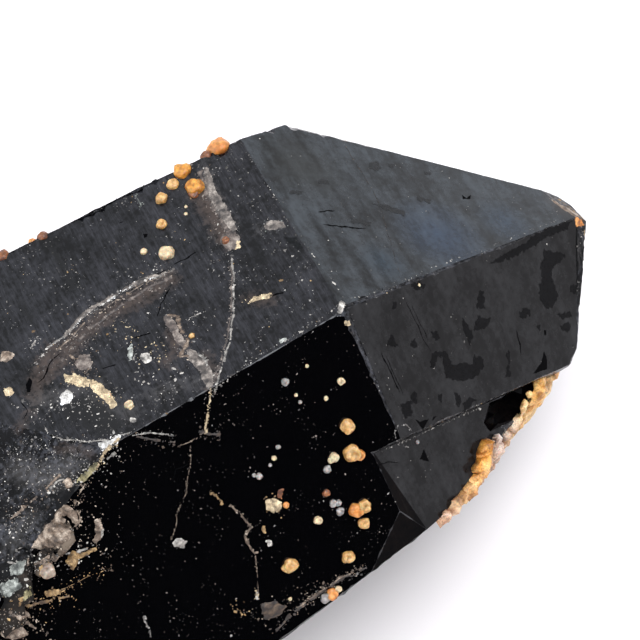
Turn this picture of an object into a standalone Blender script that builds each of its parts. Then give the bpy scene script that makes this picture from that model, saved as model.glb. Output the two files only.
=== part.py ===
"""Morion quartz point: one black smoky quartz crystal, broken off at its root and lying on a prism face.

The long axis of the crystal, its c axis, runs along X with the tip at +X. Every crystal face is given as in a
goniometer: its inclination from the c axis, its azimuth around that axis, and its distance from the centre of
growth. Azimuth 0 looks to the front (-Y), 90 looks up, 180 to the back and -90 down.
"""
import math
import random

import bmesh
import bpy
from mathutils import Matrix, Vector, noise

MM = 0.001

# Angles of quartz: prism faces stand at 90 degrees to the c axis, rhombohedral tip faces at 51.8 degrees.
PRISM = 90.0
TIP = 51.8
# The front faces lean out toward the root, as on a slightly tapering crystal. The lower front, rough and
# stepped, slopes under more than a true prism face.
TAPERED_PRISM = 87.0
UNDERCUT = 81.0
UNDERCUT_AZIMUTH = -37.0

# Driving sizes in millimetres, measured from the centre of growth, which is where the sharp tip would be.
ROOT = 76.0
SHOULDER = 30.0
TOP = 23.4
FRONT = 23.5
BACK = 19.7
UNDERSIDE = 20.0
LOWER_BACK = 20.5
LOWER_FRONT_AT_TIP = 12.2
LOWER_FRONT = 13.4
TIP_BLUNTING = 2.7
SIDE_CRYSTAL_SETBACK = 2.7
GAP = 0.3

# A block much larger than the crystal, to cut its faces from, ends this far behind the root.
BLOCK = 4 * ROOT
BEHIND_ROOT = 12.0

# Angle between the tapered faces and the c axis, as a shift of their distance from the centre of growth.
TAPER_SHIFT = SHOULDER * math.cos(math.radians(TAPERED_PRISM))


def direction(inclination, azimuth):
    """Outward normal of a crystal face."""
    lean = math.radians(inclination)
    turn = math.radians(azimuth)
    across = math.sin(lean)
    return Vector((math.cos(lean), -across * math.cos(turn), across * math.sin(turn)))


# The main crystal, with the blunt tip, the big upper tip face and the smaller lower one in front.
MAIN_CRYSTAL = (
    (PRISM, 90, TOP),
    (TAPERED_PRISM, 30, FRONT - TAPER_SHIFT),
    (PRISM, -30, LOWER_FRONT_AT_TIP),
    (PRISM, -90, UNDERSIDE),
    (PRISM, -150, LOWER_BACK),
    (89.2, 150, BACK - 0.4),
    (TIP, 90, 0.0),
    (TIP, 30, 0.0),
    (TIP, 150, 0.0),
    (TIP, -90, -TIP_BLUNTING),
    (TIP, -30, 3.0),
    (TIP, -150, -1.5),
)

# A second crystal grown on parallel to the first, low at the front. Its own tip face is set back.
SIDE_TIP = -SIDE_CRYSTAL_SETBACK * math.cos(math.radians(TIP))
RIM_FACE = (61.0, -24, 4.3)
SIDE_CRYSTAL = (
    (PRISM, 90, 16.0),
    (TAPERED_PRISM, 30, FRONT - TAPER_SHIFT),
    (UNDERCUT, UNDERCUT_AZIMUTH, LOWER_FRONT),
    (PRISM, -90, UNDERSIDE - 0.4),
    (PRISM, 150, -2.0),
    (TIP, 30, SIDE_TIP),
    RIM_FACE,
    (TIP, -90, -2.4),
    (75.8, 16.4, 15.85),
)

# Two thinner ledges step out from the side crystal toward the root, and two more stand on the hidden back.
LOWER_LEDGE = (
    (PRISM, 90, 6.0),
    (TAPERED_PRISM, 30, FRONT - TAPER_SHIFT - 0.8),
    (UNDERCUT, UNDERCUT_AZIMUTH, LOWER_FRONT + 0.15),
    (PRISM, -90, UNDERSIDE - 1.2),
    (PRISM, 150, 0.0),
    (TIP, 30, -6.6),
    (TIP, -30, -8.2),
    (TIP, -90, -6.0),
)
ROOT_LEDGE = (
    (PRISM, 90, 2.0),
    (TAPERED_PRISM, 30, FRONT - TAPER_SHIFT - 0.4),
    (UNDERCUT, UNDERCUT_AZIMUTH, LOWER_FRONT + 0.6),
    (PRISM, -90, UNDERSIDE - 2.2),
    (PRISM, 150, 0.0),
    (TIP, 30, -15.0),
    (TIP, -30, -13.0),
    (TIP, -90, -12.0),
)
BACK_LEDGE = (
    (PRISM, 90, 14.0),
    (PRISM, 30, 0.0),
    (PRISM, -90, 17.0),
    (PRISM, -150, LOWER_BACK + 1.1),
    (PRISM, 150, BACK + 0.9),
    (TIP, 150, -9.0),
    (TIP, -150, -7.5),
    (TIP, -90, -14.0),
)
UPPER_BACK_LEDGE = (
    (PRISM, 90, TOP - 2.2),
    (PRISM, 30, 2.0),
    (PRISM, -90, -9.0),
    (PRISM, -150, 12.0),
    (PRISM, 150, BACK + 0.45),
    (TIP, 150, -3.2),
    (TIP, 90, -7.0),
)

# Small flat chips knocked off the tip and off the front end of the shoulder.
EDGE_CHIPS = (
    (35.0, 106, -1.6),
    (70.0, 60, 15.0),
)

# Round iron-stained beads grown on the faces: distance back from the tip, place across the face, diameter.
TOP_BEADS = (
    (36.0, 9.0, 1.8),
    (35.7, 6.4, 1.9),
    (37.3, 8.0, 1.2),
    (38.9, 7.1, 1.2),
    (39.9, 4.3, 1.0),
    (41.0, 1.0, 1.4),
    (31.8, 9.1, 1.7),
    (35.7, -0.9, 1.3),
    (52.5, 9.0, 1.3),
    (58.5, 5.0, 1.1),
    (66.0, 1.5, 1.6),
)
FRONT_BEADS = (
    (33.9, 3.2, 1.4),
    (34.7, 0.7, 1.9),
    (33.9, -0.1, 1.3),
    (36.3, 1.2, 1.2),
    (36.4, -4.3, 1.9),
    (35.6, -5.2, 1.3),
    (36.3, -6.4, 1.1),
    (39.0, -8.5, 1.3),
    (41.2, -10.8, 1.5),
    (44.1, -6.5, 1.5),
    (32.6, 7.6, 0.8),
    (38.3, -1.7, 0.9),
    (43.0, 2.9, 0.8),
    (55.5, -6.5, 1.3),
    (62.0, -8.0, 1.6),
)
BACK_BEADS = (
    (34.0, 4.0, 1.6),
    (37.5, -3.0, 1.2),
    (46.0, 6.5, 1.9),
    (48.0, 5.0, 1.1),
    (57.0, -6.0, 1.5),
    (63.5, 1.0, 1.2),
)

# Each bead stands this share of its width over the face.
BEAD_RISE = 0.14

# The front edge is broken away toward the root: inclination, azimuth and distance of the break, its middle.
FRONT_BREAK = (108.8, 72.6, 42.9)
FRONT_BREAK_MIDDLE = (-66, -17, 18)
ROOT_BREAK_WAY = (-1, -0.10, 0.06)

# Each broken face: width of its cutter, its cells, depth of its scoops and a number that sets their places.
FRONT_FRACTURE = (62, 22, 0.5, 3)
ROOT_FRACTURE = (76, 26, 2.6, 5)
FRACTURE_DEPTH = 25

# Earthy lumps on that break, low and spread out: back, across, diameter.
EARTH_FLATNESS = 0.45
EARTH_SPREAD = 1.4
LUMPY = 0.5
EARTH_LUMPS = (
    (62.0, -11.4, 2.6),
    (61.4, -12.4, 2.0),
    (65.8, -12.3, 2.4),
    (67.1, -13.7, 2.6),
    (64.0, -13.3, 1.8),
    (66.8, -14.4, 2.2),
    (56.8, -7.6, 1.4),
    (68.7, -15.8, 2.6),
    (70.5, -12.0, 3.0),
    (72.0, -15.0, 2.6),
)

# The pocket between the two tips: places of its hollows from the centre of growth, their width and length.
POCKET_AXIS = (0.78, 0.47, -0.42)
POCKET_HOLLOWS = (
    ((-17.6, -13.7, -2.2), 3.3, 8.0),
    ((-14.2, -11.6, -3.8), 2.8, 6.0),
    ((-20.0, -15.0, -0.4), 2.8, 4.6),
)

# Ochre crust along the lower front rim. Large knobs of it lie on the rim where the width of each is given. Rows
# of smaller grains follow the rim down the face below it: back, forward of centre, below centre and width.
CRUST_KNOBS = (
    (9.3, 9.3, 5.6, 1.2),
    (10.6, 10.3, 5.3, 1.7),
    (11.9, 11.2, 4.8, 2.2),
    (13.9, 12.1, 3.7, 2.4),
    (15.0, 13.3, 3.7, 2.6),
    (15.9, 13.5, 2.7, 1.7),
    (17.0, 14.5, 2.8, 1.8),
    (18.2, 15.3, 2.2, 1.7),
    (19.5, 16.4, 1.8, 1.5),
    (20.9, 17.5, 1.3, 1.7),
    (22.4, 18.3, 0.7, 2.7),
    (23.4, 19.4, 0.9, 2.8),
    (24.5, 20.3, 1.3, 2.0),
    (25.4, 21.2, 1.1, 2.0),
    (26.5, 21.8, 0.7, 1.9),
    (27.6, 22.5, 0.3, 2.0),
    (28.9, 23.3, -0.4, 2.0),
    (30.2, 24.0, -1.0, 1.6),
)
CRUST_RIM = (
    (9.8, 9.3, 7.1),
    (13.9, 12.0, 5.1),
    (18.2, 14.9, 3.7),
    (22.1, 17.7, 2.4),
    (26.3, 21.5, 1.9),
    (28.7, 23.0, 1.2),
)
CRUST_STEPS = 4
CRUST_ROWS = 3
CRUST_ROW_STEP = 1.3
CRUST_WANDER = 0.45
CRUST_REACH = 0.5
CRUST_FLATNESS = 0.6
CRUST_ROUGHNESS = 0.6
CRUST_GRAINS = (1.4, 2.2)
LARGE_GRAIN = 1.9


def crystal(name, faces, swell=0.0):
    """One crystal: a large block cut back by each of its faces in turn."""
    grown = bmesh.new()
    bmesh.ops.create_cube(grown, size=BLOCK)
    cuts = [(direction(lean, turn), distance) for lean, turn, distance in faces]
    cuts.append((Vector((-1, 0, 0)), ROOT + BEHIND_ROOT))
    for normal, distance in cuts:
        cut = bmesh.ops.bisect_plane(
            grown, geom=grown.verts[:] + grown.edges[:] + grown.faces[:],
            plane_co=normal * (distance + swell), plane_no=normal, clear_outer=True)
        rim = [part for part in cut["geom_cut"] if isinstance(part, bmesh.types.BMEdge)]
        bmesh.ops.holes_fill(grown, edges=rim)
    bmesh.ops.scale(grown, vec=(MM, MM, MM), verts=grown.verts)
    return as_object(name, grown)


def as_object(name, shape):
    """A bmesh as a new object with its faces pointing out."""
    bmesh.ops.recalc_face_normals(shape, faces=shape.faces)
    mesh = bpy.data.meshes.new(name)
    shape.to_mesh(mesh)
    shape.free()
    item = bpy.data.objects.new(name, mesh)
    bpy.context.scene.collection.objects.link(item)
    return item


def combine(body, other, operation):
    """Boolean the other solid into the body, then remove it."""
    step = body.modifiers.new("combine", "BOOLEAN")
    step.operation = operation
    step.solver = "EXACT"
    step.object = other
    view = bpy.context.evaluated_depsgraph_get()
    result = bpy.data.meshes.new_from_object(body.evaluated_get(view))
    body.modifiers.remove(step)
    body.data = result
    bpy.data.objects.remove(other)


def broken_face(name, normal, distance, centre, width, cells, relief, seed):
    """A cutter with a shell-like fracture on one side: a grid with scoops and ripples, thickened outward."""
    shape = bmesh.new()
    bmesh.ops.create_grid(shape, x_segments=cells, y_segments=cells, size=width / 2)
    sheet = shape.verts[:]
    shift = Vector((seed * 7.3, seed * 3.1, seed * 5.7))
    for vert in sheet:
        broad = noise.noise(vert.co * 0.055 + shift)
        shell = abs(noise.noise(vert.co * 0.11 + shift * 2))
        fine = noise.noise(vert.co * 0.33 + shift * 3)
        vert.co.z = relief * (broad + 0.8 * shell + 0.22 * fine)
    block = bmesh.ops.extrude_face_region(shape, geom=shape.faces[:])
    for part in block["geom"]:
        if isinstance(part, bmesh.types.BMVert):
            part.co.z = 4 * relief + FRACTURE_DEPTH
    foot = centre + normal * (distance - centre.dot(normal))
    turn = normal.to_track_quat("Z", "X").to_matrix().to_4x4()
    place = Matrix.Scale(MM, 4) @ Matrix.Translation(foot) @ turn
    bmesh.ops.transform(shape, matrix=place, verts=shape.verts)
    return as_object(name, shape)


def lump(name, centre, size, detail, seed, roughness=0.12, up=Vector((0, 0, 1))):
    """A rounded grain with an uneven skin. The third of its sizes, in millimetres, lies along up."""
    shape = bmesh.new()
    bmesh.ops.create_icosphere(shape, subdivisions=detail, radius=0.5)
    turn = Matrix.Rotation(seed * 1.7, 4, Vector((0.4, 0.7, 0.6)).normalized())
    bmesh.ops.transform(shape, matrix=turn, verts=shape.verts)
    lie = up.to_track_quat("Z", "X").to_matrix()
    for vert in shape.verts:
        swell = 1 + roughness * noise.noise(vert.co * 4.0 + Vector((seed, seed * 2.0, 0.0)))
        stretched = Vector((vert.co.x * size[0], vert.co.y * size[1], vert.co.z * size[2]))
        vert.co = (lie @ stretched * swell + centre) * MM
    return as_object(name, shape)


def on_face(lean, azimuth, distance, back, across):
    """The point of a face that lies this far back from the tip and this far across the face."""
    turn = math.radians(azimuth)
    flat = Vector((-back, across * math.sin(turn), across * math.cos(turn)))
    outward = direction(PRISM, azimuth)
    normal = direction(lean, azimuth)
    return flat + outward * ((distance - flat.dot(normal)) / outward.dot(normal))


def add_beads(body, beads, lean, azimuth, distance, seed):
    """Fuse a scatter of round beads to one face."""
    for number, (back, across, width) in enumerate(beads):
        centre = on_face(lean, azimuth, distance, back, across) + direction(lean, azimuth) * width * BEAD_RISE
        combine(body, lump("bead", centre, (width, width, width), 2, seed + number), "UNION")


def build_crystal():
    """The quartz: the main crystal and those grown on it, broken at the root, with beads and earthy lumps."""
    body = crystal("quartz_crystal", MAIN_CRYSTAL + EDGE_CHIPS)
    for name, faces in (("side", SIDE_CRYSTAL), ("lower_ledge", LOWER_LEDGE), ("root_ledge", ROOT_LEDGE),
                        ("back_ledge", BACK_LEDGE), ("upper_back_ledge", UPPER_BACK_LEDGE)):
        combine(body, crystal(name, faces), "UNION")

    # The pocket between the two tips, hollow and dark
    for number, (middle, width, length) in enumerate(POCKET_HOLLOWS):
        size = (width, width, length)
        hollow = lump("pocket", Vector(middle), size, 2, 4 + number, LUMPY, Vector(POCKET_AXIS))
        combine(body, hollow, "DIFFERENCE")

    # The front edge broken away toward the root, then the broken root itself
    lean, turn, distance = FRONT_BREAK
    middle = Vector(FRONT_BREAK_MIDDLE)
    front_break = broken_face("front_break", direction(lean, turn), distance, middle, *FRONT_FRACTURE)
    combine(body, front_break, "DIFFERENCE")
    middle = Vector((-ROOT, 0, 0))
    root_break = broken_face("root_break", Vector(ROOT_BREAK_WAY).normalized(), ROOT, middle, *ROOT_FRACTURE)
    combine(body, root_break, "DIFFERENCE")

    add_beads(body, TOP_BEADS, PRISM, 90, TOP, 1)
    add_beads(body, FRONT_BEADS, TAPERED_PRISM, 30, FRONT - TAPER_SHIFT, 40)
    add_beads(body, BACK_BEADS, PRISM, 150, BACK, 80)
    for number, (back, across, width) in enumerate(EARTH_LUMPS):
        centre = on_face(lean, turn, distance, back, across)
        size = (width * EARTH_SPREAD, width, width * EARTH_FLATNESS)
        earth = lump("earth", centre, size, 2, 120 + number, LUMPY, direction(lean, turn))
        combine(body, earth, "UNION")
    return body


def height_above_quartz(place):
    """How far a place stands off the two crystals, in millimetres."""
    heights = []
    for faces in (MAIN_CRYSTAL, SIDE_CRYSTAL):
        heights.append(max(place.dot(direction(lean, turn)) - distance for lean, turn, distance in faces))
    return min(heights)


def build_crust():
    """The ochre crust on the lower front rim: grains in rows, fused, and cut clear of the quartz."""
    grains = random.Random(17)
    lean, turn, distance = RIM_FACE
    outward = direction(lean, turn)
    rim = direction(TIP, 30).cross(outward).normalized()
    down = rim.cross(outward) if rim.cross(outward).z < 0 else outward.cross(rim)
    places = [(Vector((-back, -forward, -below)), width) for back, forward, below, width in CRUST_KNOBS]
    stations = [Vector((-back, -forward, -below)) for back, forward, below in CRUST_RIM]
    for first, second in zip(stations, stations[1:]):
        for step in range(CRUST_STEPS):
            for row in range(CRUST_ROWS):
                wander = Vector([grains.uniform(-CRUST_WANDER, CRUST_WANDER) for axis in range(3)])
                centre = first.lerp(second, (step + 0.5 * (row % 2)) / CRUST_STEPS) + wander
                centre += down * (row + 0.5) * CRUST_ROW_STEP
                size = grains.uniform(*CRUST_GRAINS)
                centre += outward * (distance + 0.1 * size - centre.dot(outward))
                if height_above_quartz(centre) < CRUST_REACH:
                    places.append((centre, size))
    crust = None
    for centre, size in places:
        spread = (size, size, size * CRUST_FLATNESS)
        detail = 2 if size > LARGE_GRAIN else 1
        grain = lump("grain", centre, spread, detail, grains.uniform(0, 50), CRUST_ROUGHNESS, outward)
        if crust is None:
            crust = grain
            crust.name = "ochre_crust"
        else:
            combine(crust, grain, "UNION")
    for faces in (MAIN_CRYSTAL, SIDE_CRYSTAL, LOWER_LEDGE):
        combine(crust, crystal("clearance", faces, GAP), "DIFFERENCE")
    drop_crumbs(crust)
    return crust


def drop_crumbs(item):
    """Keep the largest body of an object and drop the crumbs that a cut left loose."""
    shape = bmesh.new()
    shape.from_mesh(item.data)
    bodies = []
    left = set(shape.verts)
    while left:
        body = {left.pop()}
        edge_of_body = list(body)
        while edge_of_body:
            for edge in edge_of_body.pop().link_edges:
                for vert in edge.verts:
                    if vert in left:
                        left.remove(vert)
                        body.add(vert)
                        edge_of_body.append(vert)
        bodies.append(body)
    largest = max(bodies, key=len)
    crumbs = [vert for vert in shape.verts if vert not in largest]
    bmesh.ops.delete(shape, geom=crumbs, context="VERTS")
    shape.to_mesh(item.data)
    shape.free()


def material(name, colour, roughness):
    """A plain Principled material."""
    finish = bpy.data.materials.new(name)
    finish.use_nodes = True
    shader = finish.node_tree.nodes["Principled BSDF"]
    shader.inputs["Base Color"].default_value = (*colour, 1)
    shader.inputs["Roughness"].default_value = roughness
    shader.inputs["Metallic"].default_value = 0.0
    return finish


def stand_on_ground(items):
    """Move everything so that the origin is at the middle of the underside of the bounding box."""
    corners = [vert.co for item in items for vert in item.data.vertices]
    low = [min(co[axis] for co in corners) for axis in range(3)]
    high = [max(co[axis] for co in corners) for axis in range(3)]
    middle = Vector(((low[0] + high[0]) / 2, (low[1] + high[1]) / 2, low[2]))
    for item in items:
        item.data.transform(Matrix.Translation(-middle))


for item in list(bpy.data.objects):
    bpy.data.objects.remove(item, do_unlink=True)

parts = bpy.data.collections.new("morion_quartz_point")
bpy.context.scene.collection.children.link(parts)

quartz = build_crystal()
quartz.data.materials.clear()
quartz.data.materials.append(material("black_quartz", (0.012, 0.011, 0.012), 0.15))
ochre = build_crust()
ochre.data.materials.clear()
ochre.data.materials.append(material("ochre_iron_crust", (0.45, 0.22, 0.08), 0.8))
stand_on_ground((quartz, ochre))
for item in (quartz, ochre):
    bpy.context.scene.collection.objects.unlink(item)
    parts.objects.link(item)
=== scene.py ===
"""Looks of the morion quartz point: a black smoky quartz crystal lying on a white surface."""
import math

import bmesh
import bpy
import numpy as np
from mathutils import Matrix, Vector, geometry, noise
from mathutils.bvhtree import BVHTree
from mathutils.kdtree import KDTree


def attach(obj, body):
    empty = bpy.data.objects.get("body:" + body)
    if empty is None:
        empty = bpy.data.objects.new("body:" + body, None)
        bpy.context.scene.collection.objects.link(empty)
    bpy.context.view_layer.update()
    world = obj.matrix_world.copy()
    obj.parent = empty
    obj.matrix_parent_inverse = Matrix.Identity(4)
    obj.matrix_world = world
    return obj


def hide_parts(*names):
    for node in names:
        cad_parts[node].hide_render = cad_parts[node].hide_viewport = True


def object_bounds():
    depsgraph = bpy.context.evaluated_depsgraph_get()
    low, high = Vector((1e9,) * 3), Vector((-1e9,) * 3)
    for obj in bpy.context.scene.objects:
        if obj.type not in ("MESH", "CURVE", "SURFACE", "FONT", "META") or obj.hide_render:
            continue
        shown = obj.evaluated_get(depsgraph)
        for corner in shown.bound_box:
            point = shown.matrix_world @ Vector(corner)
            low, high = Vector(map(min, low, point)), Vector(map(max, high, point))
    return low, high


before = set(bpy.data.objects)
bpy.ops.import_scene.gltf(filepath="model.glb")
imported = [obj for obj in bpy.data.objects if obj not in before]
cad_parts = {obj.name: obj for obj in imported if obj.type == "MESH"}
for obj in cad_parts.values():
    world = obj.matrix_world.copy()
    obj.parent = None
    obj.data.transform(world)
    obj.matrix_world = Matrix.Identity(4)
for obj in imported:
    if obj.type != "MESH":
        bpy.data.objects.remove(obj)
cad_box = [list(corner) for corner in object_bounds()]

# The view: the crystal lies on a prism face and is seen from above its front side, with its long axis
# rising to the right. The camera's place was worked out from the angles between the crystal's faces,
# which quartz fixes. Its lens is a long one.
MM = 0.001
GROWTH_CENTRE = Vector((41.607, 3.202, 20.0)) * MM
VIEW_RIGHT = Vector((0.88582, -0.41621, -0.20516))
VIEW_DOWN = Vector((-0.45591, -0.69833, -0.55180))
VIEW_FORWARD = Vector((0.08639, 0.58233, -0.80835))
CAMERA_FROM_CENTRE = Vector((-64.5, -232.7, 327.9)) * MM
PHOTO_SIDE = 640
FOCAL_PIXELS = 4200
SENSOR_MM = 36.0


def in_scene(name, data):
    """A new object in the scene."""
    item = bpy.data.objects.new(name, data)
    bpy.context.scene.collection.objects.link(item)
    return item


lens = bpy.data.cameras.new("photo_camera")
lens.sensor_width = SENSOR_MM
lens.lens = SENSOR_MM * FOCAL_PIXELS / PHOTO_SIDE
lens.clip_start = 0.01
camera = in_scene("photo_camera", lens)
turn = Matrix((VIEW_RIGHT, -VIEW_DOWN, -VIEW_FORWARD)).transposed().to_4x4()
camera.matrix_world = Matrix.Translation(GROWTH_CENTRE + CAMERA_FROM_CENTRE) @ turn
bpy.context.scene.camera = camera
bpy.context.scene.view_settings.view_transform = "Standard"

# The quartz: one black crystal with smaller ones grown on it, parallel to it, all one piece. It broke
# off its rock at the root, and its long edges are chipped. Its mesh starts from the solid, with the
# beads on the upper and the front face taken off, since they are pieces of their own below.
BEAD_FREE_GAP = 1.6 * MM
PROUD = 0.002 * MM
MERGED = 0.001 * MM
SNAP = 0.02 * MM
SAME_WAY = 0.999
LARGE_FACE = 12 * MM * MM
SLIVER = 0.1 * MM * MM
SHARP_ANGLE = math.radians(8)
SHARP_LENGTH = 0.9 * MM
EDGE_STEP = 0.28 * MM
CHIP_WIDTH = 0.08 * MM
LEAST_CHIP, MOST_CHIP = 0.07, 2.2
BROKEN_STEP = 0.6 * MM
BACK_EDGE_FROM = 8 * MM
BACK_EDGE_CHIPS = 3.2


def face_normal(inclination, azimuth):
    """Outward normal of a crystal face, by its inclination from the long axis and its turn around it."""
    lean = math.radians(inclination)
    around = math.radians(azimuth)
    across = math.sin(lean)
    return Vector((math.cos(lean), -across * math.cos(around), across * math.sin(around)))


# Planes of faces: a normal and a distance from the centre of growth.
UPPER_FACE = (face_normal(90, 90), 23.4 * MM)
FRONT_FACE = (face_normal(87, 30), 21.93 * MM)
BREAK_FACE = (face_normal(108.8, 72.6), 42.9 * MM)
SMALL_FACE = face_normal(75.8, 16.4)


def height_over(face, place):
    """How far a place stands over the plane of a face."""
    return (place - GROWTH_CENTRE).dot(face[0]) - face[1]


def without_beads(shape):
    """Take the beads off the upper and the front face and close the holes they leave."""
    proud = []
    for vert in shape.verts:
        over_front = height_over(FRONT_FACE, vert.co) > PROUD
        if height_over(UPPER_FACE, vert.co) > PROUD:
            proud.append(vert)
        elif over_front and height_over(BREAK_FACE, vert.co) < -BEAD_FREE_GAP:
            proud.append(vert)
    bmesh.ops.delete(shape, geom=proud, context="VERTS")
    bmesh.ops.holes_fill(shape, edges=[edge for edge in shape.edges if edge.is_boundary])
    rims = [edge for edge in shape.edges if edge.is_boundary]
    bmesh.ops.triangle_fill(shape, use_beauty=True, edges=rims)
    bmesh.ops.recalc_face_normals(shape, faces=shape.faces[:])


def split_evenly(edge, step):
    """Divide an edge into equal short ones and give them all."""
    count = max(1, round(edge.calc_length() / step))
    pieces = [edge]
    start = edge.verts[0]
    for left in range(count, 1, -1):
        piece, start = bmesh.utils.edge_split(edge, start, 1 / left)
        pieces.append(piece)
    return pieces


def chip_edges(shape):
    """Bevel the long sharp edges, and vary the bevel inside the planes of its faces as small chips do."""
    sharp = []
    for edge in shape.edges:
        if len(edge.link_faces) != 2 or edge.calc_length() <= SHARP_LENGTH:
            continue
        areas = sorted(face.calc_area() for face in edge.link_faces)
        if edge.calc_face_angle(0) > SHARP_ANGLE and areas[1] > LARGE_FACE and areas[0] > SLIVER:
            sharp.append(edge)
    pieces = [piece for edge in sharp for piece in split_evenly(edge, EDGE_STEP)]
    line = dict.fromkeys(vert for piece in pieces for vert in piece.verts)
    places = [vert.co.copy() for vert in line]
    nearest = KDTree(len(places))
    for number, place in enumerate(places):
        nearest.insert(place, number)
    nearest.balance()
    made = bmesh.ops.bevel(shape, geom=pieces, offset=CHIP_WIDTH, offset_type="OFFSET", segments=1,
                           profile=0.5, affect="EDGES", clamp_overlap=False)
    for vert in made["verts"]:
        place, _, distance = nearest.find(vert.co)
        if distance < 1.6 * CHIP_WIDTH:
            spot = place / MM
            long_chips = max(0.0, noise.noise(spot * 0.45)) * 1.2
            chip = long_chips + max(0.0, noise.noise(spot * 1.7)) ** 2 * 4.5
            reach = BACK_EDGE_CHIPS if (place - GROWTH_CENTRE).y > BACK_EDGE_FROM else 1.0
            vert.co = place + (vert.co - place) * min(LEAST_CHIP + 1.3 * chip, MOST_CHIP) * reach


def put_in_order(shape):
    """Give a shape's corners, edges and faces an order that is the same on every run."""
    for number, vert in enumerate(sorted(shape.verts, key=lambda vert: tuple(vert.co))):
        vert.index = number
    for parts in (shape.edges, shape.faces):
        in_order = sorted(parts, key=lambda part: sorted(vert.index for vert in part.verts))
        for number, part in enumerate(in_order):
            part.index = number
    for parts in (shape.verts, shape.edges, shape.faces):
        parts.sort(key=lambda part: part.index)


def roughen(shape, faces_of, step, rounds):
    """Split the long edges between faces of one kind until they are short."""
    for _ in range(rounds):
        faces = [face for face in shape.faces if faces_of(face)]
        bmesh.ops.triangulate(shape, faces=faces)
        long_edges = [edge for edge in shape.edges
                      if edge.calc_length() > step and all(faces_of(face) for face in edge.link_faces)]
        if not long_edges:
            break
        bmesh.ops.subdivide_edges(shape, edges=long_edges, cuts=1)
    put_in_order(shape)


# The kinds of finish, in the order of the materials. The pocket beside the side crystal, dark with
# painted shade, and the ledges over it are found by places in millimetres from the centre of growth.
UPPER, FRONT, TIP_TOP, TIP_FRONT, SIDES, BROKEN, SMALL = range(7)
POCKET_CENTRES = ((-17.6, -13.7, -2.2), (-14.2, -11.6, -3.8), (-20.0, -15.0, -0.4), (-32.2, -23.2, 6.2))
POCKET_REACH = 3.2 * MM
LEDGE_CENTRES = ((-22.3, -18.4, -1.1), (-25.5, -20.1, 1.3), (-28.6, -22.4, 1.6))
LEDGE_REACH = 3.4 * MM


def gap_to(face, centres):
    """How far the middle of a face is from the nearest of some places."""
    middle = face.calc_center_median() - GROWTH_CENTRE
    return min((middle - Vector(centre) * MM).length for centre in centres)


def kind_of(face):
    """Which finish a face of the crystal has."""
    for kind, plane in ((UPPER, UPPER_FACE), (FRONT, FRONT_FACE)):
        if all(abs(height_over(plane, vert.co)) < SNAP for vert in face.verts):
            return kind
    if face.calc_area() < LARGE_FACE and face.normal.dot(SMALL_FACE) < SAME_WAY:
        return SMALL if gap_to(face, POCKET_CENTRES) < POCKET_REACH else BROKEN
    tip_faces = ((TIP_TOP, face_normal(51.8, 90)), (TIP_FRONT, face_normal(51.8, 30)))
    for kind, normal in ((SMALL, SMALL_FACE), *tip_faces):
        if face.normal.dot(normal) > SAME_WAY:
            return kind
    return SIDES


def waves(spot, *parts, base=0.0):
    """Uneven rise and fall around a base: noise of some strengths, each with its waves per millimetre."""
    height = base
    for strength, per_mm in parts:
        height += strength * noise.noise(spot * per_mm)
    return height


def keep_in_box(shape, margin=0.0):
    """Bring what stands out past the solids' box back into it."""
    low, high = cad_box
    for vert in shape.verts:
        for axis in range(3):
            vert.co[axis] = min(max(vert.co[axis], low[axis] + margin), high[axis] - margin)


def mesh_from(name, shape):
    """The mesh of a finished shape."""
    mesh = bpy.data.meshes.new(name)
    shape.to_mesh(mesh)
    shape.free()
    return mesh


shape = bmesh.new()
shape.from_mesh(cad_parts["quartz_crystal"].data)
bmesh.ops.remove_doubles(shape, verts=shape.verts, dist=MERGED)
without_beads(shape)
for vert in shape.verts:
    for plane in (UPPER_FACE, FRONT_FACE):
        if abs(height_over(plane, vert.co)) < SNAP:
            vert.co -= plane[0] * height_over(plane, vert.co)
bmesh.ops.dissolve_degenerate(shape, dist=SNAP, edges=shape.edges)
for face in shape.faces:
    face.material_index = kind_of(face)
bmesh.ops.dissolve_limit(shape, angle_limit=math.radians(0.5), verts=shape.verts, edges=shape.edges,
                         delimit={"MATERIAL"})
flat_crystal = BVHTree.FromBMesh(shape)
chip_edges(shape)
roughen(shape, lambda face: face.material_index == BROKEN, BROKEN_STEP, 4)
shape.normal_update()
for face in shape.faces:
    if face.material_index in (BROKEN, UPPER) and gap_to(face, LEDGE_CENTRES) < LEDGE_REACH:
        face.material_index = TIP_FRONT
for vert in shape.verts:
    if all(face.material_index == BROKEN for face in vert.link_faces):
        spot = vert.co / MM
        swell = waves(spot, (0.16, 0.5), (0.10, 1.4)) + 0.05 * abs(noise.noise(spot * 3.1))
        vert.co += vert.normal * swell * MM

# The upper face is cut into small squares, so that it can carry haze and stains.
GRID_STEP = 0.5 * MM
CUT_SNAP = 0.0001 * MM
upper = [face for face in shape.faces if face.material_index == UPPER and face.calc_area() > LARGE_FACE]
low = [min(vert.co[axis] for face in upper for vert in face.verts) for axis in range(2)]
high = [max(vert.co[axis] for face in upper for vert in face.verts) for axis in range(2)]
for axis in range(2):
    across = Vector((1, 0, 0)) if axis == 0 else Vector((0, 1, 0))
    for number in range(1, int((high[axis] - low[axis]) / GRID_STEP)):
        line = across * (low[axis] + number * GRID_STEP)
        touched = [face for face in upper if min(v.co[axis] for v in face.verts) < line[axis]
                   < max(v.co[axis] for v in face.verts)]
        around = [edge for face in touched for edge in face.edges]
        around += [vert for face in touched for vert in face.verts]
        cut = bmesh.ops.bisect_plane(shape, geom=touched + list(dict.fromkeys(around)), dist=CUT_SNAP,
                                     plane_co=line, plane_no=across)
        upper += [part for part in cut["geom"] if isinstance(part, bmesh.types.BMFace)]
        upper = [face for face in dict.fromkeys(upper) if face.is_valid]
for face in shape.faces:
    face.smooth = face.material_index == BROKEN
keep_in_box(shape)
crystal_mesh = mesh_from("morion_crystal", shape)
crystal = in_scene("morion_crystal", crystal_mesh)


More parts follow.
